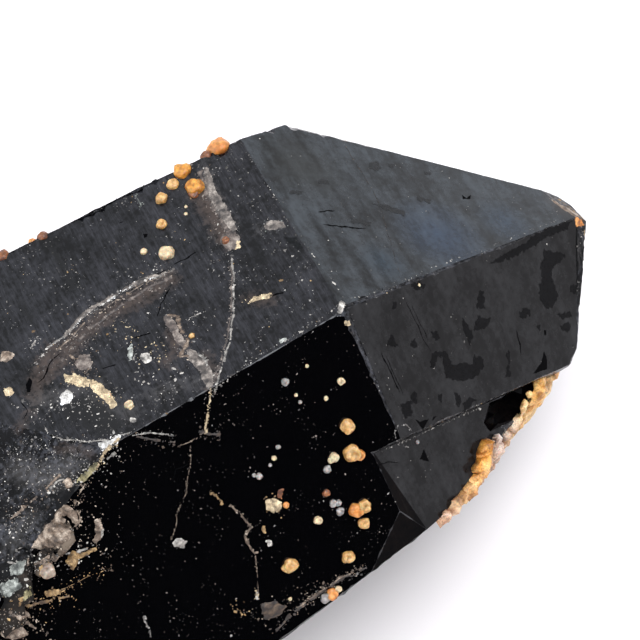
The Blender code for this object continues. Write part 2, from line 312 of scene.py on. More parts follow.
def seen(column, row, surface=flat_crystal):
    """Where a surface is met at a pixel of the photograph, and the way it faces there."""
    across, down = column - PHOTO_SIDE / 2, row - PHOTO_SIDE / 2
    ray = (VIEW_FORWARD * FOCAL_PIXELS + VIEW_RIGHT * across + VIEW_DOWN * down).normalized()
    place, facing = surface.ray_cast(GROWTH_CENTRE + CAMERA_FROM_CENTRE, ray)[:2]
    if place is None:
        return None, None
    return place, facing if facing.dot(ray) < 0 else -facing


# Haze on the upper and the broken face, from thin films of iron and clay beside healed cracks, and
# darker streaks through it: a width in millimetres, then the pixels of the photograph that the middle
# of it passes.
BROWN_HAZE = (
    (2.2, ((168, 280), (140, 298), (112, 312), (85, 332), (66, 352), (50, 372))),
    (2.4, ((202, 192), (212, 212), (226, 238))),
    (1.5, ((172, 330), (176, 350), (168, 362))),
    (1.3, ((205, 355), (212, 375), (212, 392))),
    (1.4, ((250, 298), (270, 300))),
    (1.2, ((60, 450), (90, 452), (100, 470), (84, 480))),
    (1.1, ((79, 362), (84, 364))),
    (1.0, ((20, 428), (32, 410), (36, 395))),
    (2.0, ((52, 348), (41, 370), (34, 394))),
)
PALE_HAZE = (
    (1.0, ((170, 268), (145, 279), (125, 290), (110, 299), (96, 308), (80, 318))),
    (1.2, ((205, 165), (211, 188), (220, 206), (232, 226))),
    (1.4, ((262, 228), (276, 226))),
    (2.6, ((90, 400), (112, 412), (128, 412))),
    (2.4, ((40, 400), (70, 392), (96, 385))),
    (1.6, ((150, 395), (180, 385), (205, 380))),
    (3.4, ((20, 470), (50, 480), (70, 465))),
    (2.4, ((30, 520), (10, 545))),
)
DARK_STREAKS = (
    (0.9, ((48, 238), (58, 258), (73, 288))),
    (0.7, ((190, 285), (200, 300), (212, 318))),
    (0.8, ((286, 232), (300, 246))),
    (0.8, ((148, 232), (150, 238))),
    (0.7, ((20, 300), (30, 322))),
    (0.8, ((26, 385), (33, 392))),
    (5.5, ((2, 640), (16, 612), (34, 596))),
    (3.0, ((78, 408), (96, 416), (108, 424))),
    (2.0, ((30, 566), (52, 554), (70, 548))),
    (2.2, ((66, 512), (84, 484), (104, 462))),
)


def traced(lines):
    """Lines drawn in photo pixels, as stretches on the crystal with a width, all in millimetres."""
    stretches = []
    for width, pixels in lines:
        found = [seen(*pixel)[0] for pixel in pixels]
        found = [np.array(place) / MM for place in found if place]
        stretches += [(first, second, width) for first, second in zip(found, found[1:])]
    return stretches


FAR_OUTSIDE = -9.0
FIELD_REACH = 3


def closeness(places, stretches):
    """How far inside the nearest drawn line each place is, in millimetres, negative outside."""
    best = np.full(len(places), FAR_OUTSIDE)
    for first, second, width in stretches:
        run = second - first
        along = np.clip((places - first) @ run / float(run @ run), 0, 1)
        gap = np.linalg.norm(places - first - along[:, None] * run, axis=1)
        best = np.maximum(best, width / 2 - gap)
    return best


points = np.zeros(len(crystal_mesh.vertices) * 3)
crystal_mesh.vertices.foreach_get("co", points)
points = points.reshape(-1, 3) / MM
fields = {name: closeness(points, traced(lines)) for name, lines in
          (("brown_haze", BROWN_HAZE), ("pale_haze", PALE_HAZE), ("dark_streak", DARK_STREAKS))}
# Lumps of earth stand out past the broken and the front face by more than these, in millimetres.
LUMP_OVER_BREAK, LUMP_OVER_FRONT = 0.35, 0.08
fields["earth_lumps"] = [max(height_over(BREAK_FACE, vert.co) / MM - LUMP_OVER_BREAK,
                             height_over(FRONT_FACE, vert.co) / MM - LUMP_OVER_FRONT)
                         for vert in crystal_mesh.vertices]
for name, values in fields.items():
    values = np.clip(values, -FIELD_REACH, FIELD_REACH).astype(np.float32)
    crystal_mesh.attributes.new(name, "FLOAT", "POINT").data.foreach_set("value", values)


def srgb(code, alpha=1.0):
    """A hex colour as the linear values that a shader takes."""
    values = [int(code[i:i + 2], 16) / 255 for i in (0, 2, 4)]
    return [v / 12.92 if v <= 0.04045 else ((v + 0.055) / 1.055) ** 2.4 for v in values] + [alpha]


def add(tree, kind, links=(), **settings):
    """A shader node with its settings and its inputs: a value, or the output of another node."""
    node = tree.nodes.new("ShaderNode" + kind)
    for name, value in settings.items():
        setattr(node, name, value)
    for name, value in dict(links).items():
        if isinstance(value, bpy.types.NodeSocket):
            tree.links.new(value, node.inputs[name])
        else:
            node.inputs[name].default_value = value
    return node


def new_material(name, **uniform):
    """A material with a Principled shader, and what is the same all over it set on the shader."""
    material = bpy.data.materials.new(name)
    material.use_nodes = True
    shader = material.node_tree.nodes["Principled BSDF"]
    for socket, value in uniform.items():
        shader.inputs[socket.replace("_", " ")].default_value = value
    return material, material.node_tree, shader


# Morion is quartz darkened by natural radiation: black through and through. Where a face is glassy it
# shows only what stands around it. Growth steps, etching and dust make others satin, with a thin grey
# film over the black. The film is mottled in specks of 0.7 mm and clouds of 5 mm, over a grain of 0.3
# mm. The finest real steps are too fine to show, so they are drawn 0.26 to 1.1 mm apart. The numbers
# say how many come in a millimetre.
BLACK = "030304"
GRAIN_PER_MM, MOTTLE_PER_MM, CLOUDS_PER_MM = 3.0, 1.5, 0.21
STEPS_ALONG_AXIS = (3.8, 0.52, 0.52)
FAINT_STEPS_ALONG_AXIS = (0.9, 0.16, 0.16)
STEPS_ALL_WAYS = (2.6, 2.6, 2.6)
STEP_DEPTH = 0.05 * MM
COVER_BETWEEN = (0.40, 0.66)
POLISH_BETWEEN = (0.35, 0.68)
RIM_WANDER, RIM_MIDDLE = 4.4, 2.4
HAZE_ROUGHNESS = 0.7
# The fields of haze: the tint, its strength, and how far inside the field it starts and is full, in
# millimetres.
HAZE_TINTS = (("brown_haze", "463a33", 0.75, -0.4, 1.0), ("pale_haze", "5e5b59", 0.30, -0.4, 1.3),
              ("earth_lumps", "382f28", 0.9, 0.0, 0.5), ("earth_lumps", "8a7b6b", 0.55, 0.3, 1.5),
              ("dark_streak", BLACK, 0.9, -0.25, 0.3))


def between(tree, value, span, low, high):
    """A value that goes from low to high as another one crosses a span."""
    return add(tree, "MapRange", {"Value": value, "From Min": span[0], "From Max": span[1],
                                  "To Min": low, "To Max": high}).outputs[0]


def tinted(tree, colour, tint, factor):
    """A colour with a tint laid over it by a factor."""
    return add(tree, "Mix", {"Factor": factor, 6: colour, 7: srgb(tint)}, data_type="RGBA").outputs[2]


def speckle(tree, place, per_mm, **settings):
    """Noise with so many specks in a millimetre."""
    links = {"Vector": place, "Scale": per_mm / MM, **settings}
    return add(tree, "TexNoise", links).outputs[0]


def morion(name, film, amount, polish, relief, steps_per_mm, specular, hazy=False, tints=()):
    """Morion under a film: the film's colour and amount, the range of roughness, the strength and number
    of its steps, how strongly it mirrors, and places in photo pixels with a radius and a tint each."""
    material, tree, shader = new_material(name, IOR=1.544, Metallic=0.0, Specular_IOR_Level=specular)
    place = add(tree, "TexCoord").outputs["Object"]
    scale = [count / MM for count in steps_per_mm]
    stretched = add(tree, "Mapping", {"Vector": place, "Scale": scale}).outputs["Vector"]
    steps = add(tree, "TexNoise", {"Vector": stretched, "Scale": 1.0, "Detail": 6.0, "Roughness": 0.62})
    steps = steps.outputs[0]
    cloud = speckle(tree, place, CLOUDS_PER_MM, Detail=6.0, Roughness=0.6)
    grain = speckle(tree, place, GRAIN_PER_MM, Detail=3.0)
    mottle = speckle(tree, place, MOTTLE_PER_MM, Detail=7.0, Roughness=0.7)
    mixed = add(tree, "Math", {0: steps, 1: cloud}, operation="MULTIPLY").outputs[0]
    patchy = add(tree, "Math", {0: mottle, 1: 0.5, 2: mixed}, operation="MULTIPLY_ADD").outputs[0]
    cover = between(tree, patchy, COVER_BETWEEN, *amount)
    colour = tinted(tree, srgb(BLACK), film, cover)
    rough = between(tree, steps, POLISH_BETWEEN, *polish)
    for field, tint, strength, least, most in HAZE_TINTS if hazy else ():
        inside = add(tree, "Attribute", attribute_name=field).outputs["Fac"]
        wander = add(tree, "Math", {0: mottle, 1: RIM_WANDER, 2: inside}, operation="MULTIPLY_ADD")
        ragged = add(tree, "Math", {0: wander.outputs[0], 1: RIM_MIDDLE}, operation="SUBTRACT").outputs[0]
        mask = between(tree, ragged, (least, most), 0.0, strength)
        colour = tinted(tree, colour, tint, mask)
        rough = add(tree, "Mix", {"Factor": mask, 2: rough, 3: HAZE_ROUGHNESS}).outputs[0]
    for pixel, radius, tint in tints:
        centre = seen(*pixel)[0]
        gap = add(tree, "VectorMath", {0: place, 1: centre}, operation="DISTANCE").outputs["Value"]
        near = between(tree, gap, (radius * MM, 0.0), 0.0, 1.0)
        patchy = add(tree, "Math", {0: near, 1: mottle}, operation="MULTIPLY").outputs[0]
        colour = tinted(tree, colour, tint, patchy)
    tree.links.new(colour, shader.inputs["Base Color"])
    tree.links.new(rough, shader.inputs["Roughness"])
    height = add(tree, "Mix", {"Factor": 0.2, 2: steps, 3: grain}).outputs[0]
    bump = add(tree, "Bump", {"Height": height, "Strength": relief, "Distance": STEP_DEPTH}).outputs[0]
    tree.links.new(bump, shader.inputs["Normal"])
    return material


# Tints on the upper tip face: blue patches that are painted reflection, and brown at the tip.
TIP_TINTS = (((440, 235), 5.5, "2c3e54"), ((505, 222), 3.5, "283848"), ((385, 262), 3.0, "22323e"),
             ((562, 204), 2.5, "4a423c"), ((300, 165), 5.0, "1c1c16"))
for material in (
    # A grey satin sheen, hazed with brown and grey beside the cracks.
    morion("satin_morion_upper_prism_face", "303034", (0.0, 0.9), (0.10, 0.36), 0.35, STEPS_ALONG_AXIS,
           0.32, hazy=True),
    # Almost a mirror: it looks black, because it is dark in front of it.
    morion("glassy_morion_front_prism_face", "1c1917", (0.0, 0.03), (0.03, 0.08), 0.02,
           FAINT_STEPS_ALONG_AXIS, 0.36),
    # Smooth, with a blue-grey film that is painted soft reflection.
    morion("glassy_morion_upper_tip_face", "32373b", (0.0, 1.0), (0.08, 0.24), 0.10, FAINT_STEPS_ALONG_AXIS,
           0.30, tints=TIP_TINTS),
    # Smooth and darker, faintly mottled.
    morion("glassy_morion_front_tip_face", "232324", (0.0, 1.0), (0.08, 0.2), 0.08, FAINT_STEPS_ALONG_AXIS,
           0.10),
    # Satin, like the upper face, with no haze.
    morion("satin_morion_hidden_faces", "2b2a2c", (0.0, 0.6), (0.12, 0.42), 0.30, STEPS_ALONG_AXIS, 0.42),
    # A rough break: dull and patchy, grey on black, with earth rubbed into it.
    morion("broken_morion", "404146", (-0.5, 1.2), (0.2, 0.55), 0.8, STEPS_ALL_WAYS, 0.12, hazy=True),
    # Dark brown with almost no gloss: painted shade where a small face mirrors shadowed floor, and in the
    # pocket.
    morion("dull_dark_small_face_painted_shade", "1c1512", (0.0, 0.3), (0.2, 0.3), 0.05, FAINT_STEPS_ALONG_AXIS,
           0.02),
):
    crystal_mesh.materials.append(material)
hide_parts("quartz_crystal")
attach(crystal, "root")

# Etched hollows, smudges and open cracks in the quartz. Where the last growth layer is dissolved, its
# dull floor is darker than the face around it. Smudges are thin dark films, and cracks and notches hold
# shadow. Each is a skin on the face, and its outline goes through photo pixels.
ETCHED_HOLLOWS = (
    ((544, 249), (556, 252), (564, 253), (565, 257), (556, 264), (551, 272), (552, 281), (557, 290),
     (558, 299), (550, 310), (546, 309), (540, 299), (539, 287), (542, 278), (540, 269), (543, 258)),
    ((490, 264), (498, 257), (520, 246), (546, 228), (566, 222), (574, 220), (566, 229), (547, 238),
     (520, 254), (500, 262)),
    ((479, 294), (484, 291), (484, 309), (476, 309)),
    ((519, 312), (525, 307), (530, 309), (530, 315), (522, 319), (519, 317)),
    ((462, 318), (470, 328), (473, 335), (470, 347), (464, 331)),
    ((474, 331), (478, 316), (481, 315), (484, 319), (491, 318), (488, 326), (478, 330)),
    ((432, 353), (446, 350), (451, 360), (454, 366), (464, 362), (471, 365), (474, 356), (483, 358),
     (484, 366), (475, 378), (458, 381), (446, 378), (445, 371), (442, 359), (438, 356), (435, 367),
     (430, 367)),
    ((506, 352), (510, 352), (509, 366), (511, 377), (505, 378), (508, 362)),
    ((570, 286), (576, 284), (580, 290), (575, 294), (570, 292)),
    ((556, 314), (570, 312), (573, 317), (562, 318)),
    ((561, 326), (567, 321), (572, 326), (568, 331), (562, 330)),
    ((536, 327), (539, 324), (541, 329), (538, 331)),
    ((386, 345), (391, 334), (396, 340), (397, 347), (389, 346)),
    ((411, 341), (415, 338), (417, 346), (414, 349), (411, 345)),
    ((431, 333), (436, 331), (440, 338), (436, 340)),
    ((393, 302), (396, 303), (396, 309), (393, 309)),
    ((358, 298), (364, 296), (366, 303), (361, 305)),
    ((412, 284), (417, 282), (425, 284), (424, 289), (414, 289)),
    ((411, 393), (416, 393), (417, 402), (412, 403)),
    ((438, 394), (442, 393), (441, 403), (438, 401)),
    ((455, 393), (460, 394), (461, 404), (457, 409), (456, 400)),
    ((464, 402), (470, 397), (476, 399), (470, 408), (463, 411)),
    ((400, 405), (410, 400), (413, 415), (405, 418)),
    ((440, 418), (447, 416), (449, 428), (444, 440), (438, 432)),
)
DARK_SMUDGES = (
    ((370, 162), (378, 161), (382, 168), (376, 171), (369, 167)),
    ((388, 163), (395, 165), (393, 168), (387, 166)),
    ((372, 203), (388, 205), (405, 212), (404, 216), (388, 211)),
    ((318, 180), (328, 180), (330, 184), (320, 184)),
    ((290, 190), (304, 192), (300, 195), (291, 194)),
    ((350, 218), (372, 222), (370, 226), (352, 223)),
    ((283, 236), (296, 238), (304, 248), (298, 250), (288, 242)),
    ((418, 196), (432, 199), (430, 203), (417, 200)),
    ((424, 171), (432, 173), (430, 175), (424, 174)),
)
NOTCHES = (
    ((462, 195), (466, 198), (471, 195), (470, 199), (463, 199)),
    ((544, 351), (547, 360), (547, 369), (533, 374), (541, 363)),
    ((424, 449), (420, 459), (429, 462)),
    ((415, 419), (420, 422), (430, 418), (437, 416), (432, 421), (434, 432), (427, 441), (420, 445),
     (413, 436)),
    ((544, 330), (546, 330), (546, 335), (544, 335)),
    ((143, 234), (148, 234), (147, 237), (144, 238)),
    ((26, 384), (30, 378), (32, 382), (30, 392), (27, 392)),
)
# Narrow cracks: a width in millimetres and the pixels that each passes.
CRACKS = (
    (0.10, ((150, 276), (160, 273), (168, 269))), (0.12, ((173, 265), (187, 258), (198, 251))),
    (0.10, ((157, 318), (161, 305), (166, 295), (171, 286))), (0.12, ((134, 338), (143, 335), (152, 333))),
    (0.16, ((271, 297), (278, 294), (285, 292))), (0.14, ((322, 224), (345, 227), (367, 229))),
    (0.12, ((318, 213), (327, 211), (336, 211))), (0.12, ((102, 369), (109, 366), (117, 365))),
    (0.10, ((119, 223), (124, 221))), (0.14, ((382, 287), (383, 311), (382, 337), (380, 354), (382, 371))),
    (0.10, ((381, 352), (390, 371), (400, 394))), (0.07, ((386, 356), (395, 376), (404, 396))),
    (0.06, ((405, 300), (416, 322), (424, 340), (432, 352))), (0.05, ((411, 304), (421, 325), (429, 341))),
    (0.05, ((362, 301), (373, 322), (381, 338))), (0.10, ((516, 330), (520, 344), (521, 356))),
    (0.08, ((20, 402), (27, 411), (24, 420))), (0.10, ((62, 352), (50, 362), (44, 378), (36, 384))),
    (0.08, ((400, 462), (388, 462), (372, 466), (358, 472))), (0.08, ((172, 480), (176, 470), (190, 464))),
)
OUTLINE_STEP = 0.12 * MM
# Noise that gives a direction takes its seed from the clock unless one is set.
NOISE_SEED = 5
noise.seed_set(NOISE_SEED)
SKIN_LIFT = 0.012 * MM
EDGE_GAP = 0.1 * MM


def on_one_face(pixels):
    """Where the crystal is met at some pixels, laid flat on the face that the first of them is on."""
    found = [seen(*pixel) for pixel in pixels]
    origin, normal = found[0]
    if origin is None:
        return [], None
    met = [place for place, _ in found if place is not None]
    return [place - normal * (place - origin).dot(normal) for place in met], normal


def steps_along(corners, step):
    """Places a short step apart along a run of corners, each with the stretch that it is on."""
    for first, second in zip(corners, corners[1:]):
        count = max(1, round((second - first).length / step))
        for number in range(count):
            yield first.lerp(second, number / count), second - first


def ragged_outline(pixels, raggedness):
    """The outline of a patch on the crystal, and the way its face looks."""
    corners, normal = on_one_face(pixels)
    outline = []
    for place, _ in steps_along(corners + corners[:1], OUTLINE_STEP):
        wander = noise.noise_vector(place / MM * 2.6) + 0.8 * noise.noise_vector(place / MM * 6.3)
        outline.append(place + (wander - normal * wander.dot(normal)) * raggedness * MM)
    return outline, normal


real_corners = [vert.co.copy() for vert in crystal_mesh.vertices]
real_crystal = BVHTree.FromPolygons(real_corners, [list(face.vertices) for face in crystal_mesh.polygons])


def lies_on_crystal(place, reach):
    """Whether a place is close to the crystal's real surface, and not out past an edge of it."""
    return real_crystal.find_nearest(place, reach)[0] is not None


def finished(name, mesh):
    """A mesh as a piece of the object."""
    item = in_scene(name, mesh)
    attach(item, "root")
    return item


def line_outline(width, pixels):
    """The outline of a narrow line on the crystal, of uneven width and pointed at its ends."""
    corners, normal = on_one_face(pixels)
    middle = list(steps_along(corners, OUTLINE_STEP))
    left, right = [], []
    for number, (place, run) in enumerate(middle):
        aside = run.cross(normal).normalized()
        taper = min(1.0, 6 * number / len(middle), 6 * (len(middle) - number) / len(middle))
        half = width * MM * (0.35 + 0.9 * abs(noise.noise(place / MM * 2.3))) * taper
        wander = aside * noise.noise(place / MM * 1.4) * 0.12 * MM
        left.append(place + wander + aside * half)
        right.append(place + wander - aside * half)
    return left + right[::-1], normal


def mesh_of(name, corners, faces):
    """A mesh from its corners and faces."""
    mesh = bpy.data.meshes.new(name)
    mesh.from_pydata(corners, [], faces)
    return mesh


def flat_patches(name, outlines, material):
    """Thin patches on the crystal's faces, joined in one mesh."""
    corners, triangles = [], []
    for outline, normal in outlines:
        start = len(corners)
        corners += [place + normal * SKIN_LIFT for place in outline]
        for triangle in geometry.tessellate_polygon([outline]) if outline else ():
            one, two, three = (outline[index] for index in triangle)
            outward = (two - one).cross(three - one).dot(normal) > 0
            if all(lies_on_crystal(corner, EDGE_GAP) for corner in (one, two, three)):
                triangles.append([start + index for index in (triangle if outward else triangle[::-1])])
    mesh = mesh_of(name, corners, triangles)
    mesh.materials.append(material)
    return finished(name, mesh)


# Etched quartz is matt and swallows the light.
flat_patches("etched_hollows", [ragged_outline(pixels, 0.22) for pixels in ETCHED_HOLLOWS],
             morion("etched_morion", "121214", (0.0, 0.5), (0.25, 0.4), 0.1, STEPS_ALL_WAYS, 0.04))
# A thin dark film dulls the face without hiding its gloss.
flat_patches("dark_smudges", [ragged_outline(pixels, 0.20) for pixels in DARK_SMUDGES],
             morion("smudged_morion", "1a1e20", (0.0, 0.6), (0.2, 0.35), 0.1, STEPS_ALL_WAYS, 0.22))
# An open crack gives no light back.
cracks = [ragged_outline(pixels, 0.07) for pixels in NOTCHES]
cracks += [line_outline(width, pixels) for width, pixels in CRACKS]
flat_patches("open_cracks", cracks,
             morion("shadow_in_a_crack", "0c0a0a", (0.0, 0.3), (0.8, 0.9), 0.1, STEPS_ALL_WAYS, 0.03))

# Iron-stained beads: little round grains of ochre-coloured quartz and clay, grown on the faces. Each is
# given by its pixel, its width in millimetres and its tones from dark to pale, and those with a 1 are
# hollow at the top.
AMBER = ("5c3210", "ae7026", "d89c46")
ORANGE = ("6e3812", "b87232", "d89a58")
SANDY = ("6a4a24", "b4864a", "d4b078")
CREAM = ("7c6c54", "b8a280", "dccaa4")
GREY = ("403c3a", "74706c", "aaa6a0")
RUST = ("361a0c", "64361c", "946038")
EARTH = ("34281e", "766454", "bcac9a")
BEADS = (
    ((182, 172), 1.8, AMBER, 0), ((195, 188), 1.8, AMBER, 0), ((194, 194), 1.1, RUST, 0),
    ((173, 185), 1.25, SANDY, 0), ((162, 199), 1.3, SANDY, 0), ((162, 225), 1.1, SANDY, 0),
    ((167, 254), 1.6, CREAM, 0), ((144, 252), 0.7, CREAM, 0), ((186, 207), 0.35, CREAM, 0),
    ((186, 214), 0.4, CREAM, 0), ((192, 336), 0.6, SANDY, 0), ((129, 405), 0.9, CREAM, 0),
    ((48, 571), 1.5, EARTH, 0), ((108, 396), 0.7, CREAM, 0), ((347, 426), 1.45, SANDY, 0),
    ((352, 453), 1.75, SANDY, 1), ((359, 455), 1.25, ORANGE, 1), ((334, 457), 1.05, CREAM, 0),
    ((331, 460), 0.7, CREAM, 0), ((327, 469), 0.8, GREY, 0), ((326, 493), 0.8, RUST, 0),
    ((356, 510), 1.5, ORANGE, 0), ((364, 506), 1.4, SANDY, 1), ((364, 523), 1.15, SANDY, 1),
    ((348, 557), 1.3, SANDY, 1), ((290, 565), 1.45, SANDY, 0), ((286, 568), 0.9, SANDY, 0),
    ((341, 381), 0.8, CREAM, 1), ((285, 382), 0.8, GREY, 0), ((326, 398), 0.5, CREAM, 0),
    ((254, 475), 0.45, GREY, 0), ((259, 476), 0.7, GREY, 0), ((274, 458), 0.55, CREAM, 0),
    ((278, 447), 0.5, GREY, 0), ((270, 465), 0.4, GREY, 0), ((333, 503), 0.75, GREY, 0),
    ((338, 503), 0.7, GREY, 0), ((340, 511), 0.85, GREY, 0), ((318, 520), 0.9, CREAM, 0),
    ((286, 505), 0.65, ORANGE, 0), ((332, 594), 1.2, ORANGE, 0), ((325, 598), 1.0, GREY, 0),
    ((338, 589), 0.7, CREAM, 0), ((417, 442), 0.5, GREY, 0), ((290, 599), 0.4, CREAM, 0),
    ((419, 285), 0.35, CREAM, 0), ((296, 395), 0.4, CREAM, 0), ((300, 402), 0.4, GREY, 0),
    ((307, 366), 0.4, CREAM, 0), ((226, 241), 0.8, RUST, 0),
)
# Grains on the upper edge of the back, by their place from the centre of growth, and beads on the
# hidden back, by how far they are behind that centre and across the face, and their width. All are in
# millimetres.
EDGE_BEADS = (
    ((-31.75, 9.8, 22.75), 2.3, ORANGE), ((-33.2, 9.5, 23.0), 1.2, RUST), ((-50.1, 9.7, 23.1), 1.2, RUST),
    ((-51.2, 9.8, 23.0), 0.9, ORANGE), ((-54.2, 9.8, 23.1), 1.4, RUST), ((-55.3, 9.8, 23.1), 0.9, ORANGE),
)
BACK_BEADS = ((34.0, 4.0, 1.6), (37.5, -3.0, 1.2), (46.0, 6.5, 1.9), (48.0, 5.0, 1.1), (57.0, -6.0, 1.5),
              (63.5, 1.0, 1.2))
BACK_FACE = 19.7
BEAD_SCALE = 0.94
FINE_BEAD = 0.6
bead_shape = bmesh.new()
bead_tones = []


def tone_at(tones, value):
    """A colour between the tones of a palette, dark to pale, for a value from 0 to 1."""
    spot = min(max(value, 0.0), 0.999) * (len(tones) - 1)
    first, second = (srgb(code) for code in tones[int(spot):int(spot) + 2])
    part = spot - int(spot)
    return [a + (b - a) * part for a, b in zip(first, second)]


def add_bead(place, normal, width, tones, hollow, height_share=0.3):
    """One uneven, flat-topped grain sunk a little into the face, with painted light and shade: paler on
    top, darker toward its foot and in its hollow.
    """
    fineness = 3 if width > FINE_BEAD else 2
    made = bmesh.ops.create_icosphere(bead_shape, subdivisions=fineness, radius=0.5)["verts"]
    lie = normal.to_track_quat("Z", "X").to_matrix()
    shift = place / MM * 3.7
    for vert in made:
        lumpy = 1 + 0.28 * noise.noise(vert.co * 2.4 + shift) + 0.06 * noise.noise(vert.co * 6.0 + shift)
        ring = math.hypot(vert.co.x, vert.co.y) * 2
        sink = 0.16 * math.exp(-(ring / 0.36) ** 2) if hollow and vert.co.z > 0 else 0.0
        # Painted light and shade: the tone rises toward the top of the grain and drops in its hollow.
        value = 0.5 + 0.5 * vert.co.z + 0.55 * noise.noise(vert.co * 4.0 + shift) - 1.8 * sink
        bead_tones.append(tone_at(tones, value))
        top = height_share + 0.10 * noise.noise(vert.co * 3.0 + shift) - sink
        local = Vector((vert.co.x * lumpy, vert.co.y * lumpy, min(vert.co.z * 0.85, top) * lumpy))
        vert.co = place + lie @ local * width * BEAD_SCALE * MM + normal * width * 0.06 * MM


for pixel, width, tones, hollow in BEADS:
    place, normal = seen(*pixel)
    if place is not None:
        add_bead(place, normal, width, tones, hollow)
edge_normal = face_normal(90, 120)
for centre, width, tones in EDGE_BEADS:
    add_bead(GROWTH_CENTRE + Vector(centre) * MM, edge_normal, width, tones, 0, 0.34)
back_normal = face_normal(90, 150)
across_back = Vector((0, back_normal.z, -back_normal.y))
for backward, across, width in BACK_BEADS:
    place = GROWTH_CENTRE + (back_normal * BACK_FACE + across_back * across) * MM
    place += Vector((-backward, 0, 0)) * MM
    add_bead(place, back_normal, width * 1.25, SANDY, 0, 0.55)
bead_mesh = mesh_from("iron_stained_beads", bead_shape)
bead_mesh.shade_smooth()
MINERAL_RELIEF = 0.1 * MM


def mineral_skin(name, roughness, grain_mm, relief, variation=0.35, **uniform):
    """A mineral skin that takes its colour from the mesh, with grains of a width in millimetres over it."""
    material, tree, shader = new_material(name, Roughness=roughness, IOR=1.54, **uniform)
    tone = add(tree, "Attribute", attribute_name="tone").outputs["Color"]
    place = add(tree, "TexCoord").outputs["Object"]
    grain = add(tree, "TexNoise", {"Vector": place, "Scale": 1 / (grain_mm * MM), "Detail": 4.0}).outputs[0]
    light = between(tree, grain, (0.3, 0.7), 1 - variation, 1 + variation)
    shaded = add(tree, "VectorMath", {0: tone, "Scale": light}, operation="SCALE").outputs[0]
    tree.links.new(shaded, shader.inputs["Base Color"])
    bump = add(tree, "Bump", {"Height": grain, "Strength": relief, "Distance": MINERAL_RELIEF}).outputs[0]
    tree.links.new(bump, shader.inputs["Normal"])
    return material


def toned_piece(mesh, tones, material):
    """A piece of the object with one colour per vertex, which its material reads."""
    flat = [value for tone in tones for value in tone]
    mesh.attributes.new("tone", "FLOAT_COLOR", "POINT").data.foreach_set("color", flat)
    mesh.materials.append(material)
    return finished(mesh.name, mesh)


# Iron-stained quartz is waxy and lets a little light in, which warms the beads against the black.
toned_piece(bead_mesh, bead_tones,
            mineral_skin("iron_stained_bead", 0.42, 0.35, 0.35, Subsurface_Weight=0.25,
                         Subsurface_Scale=0.8 * MM))
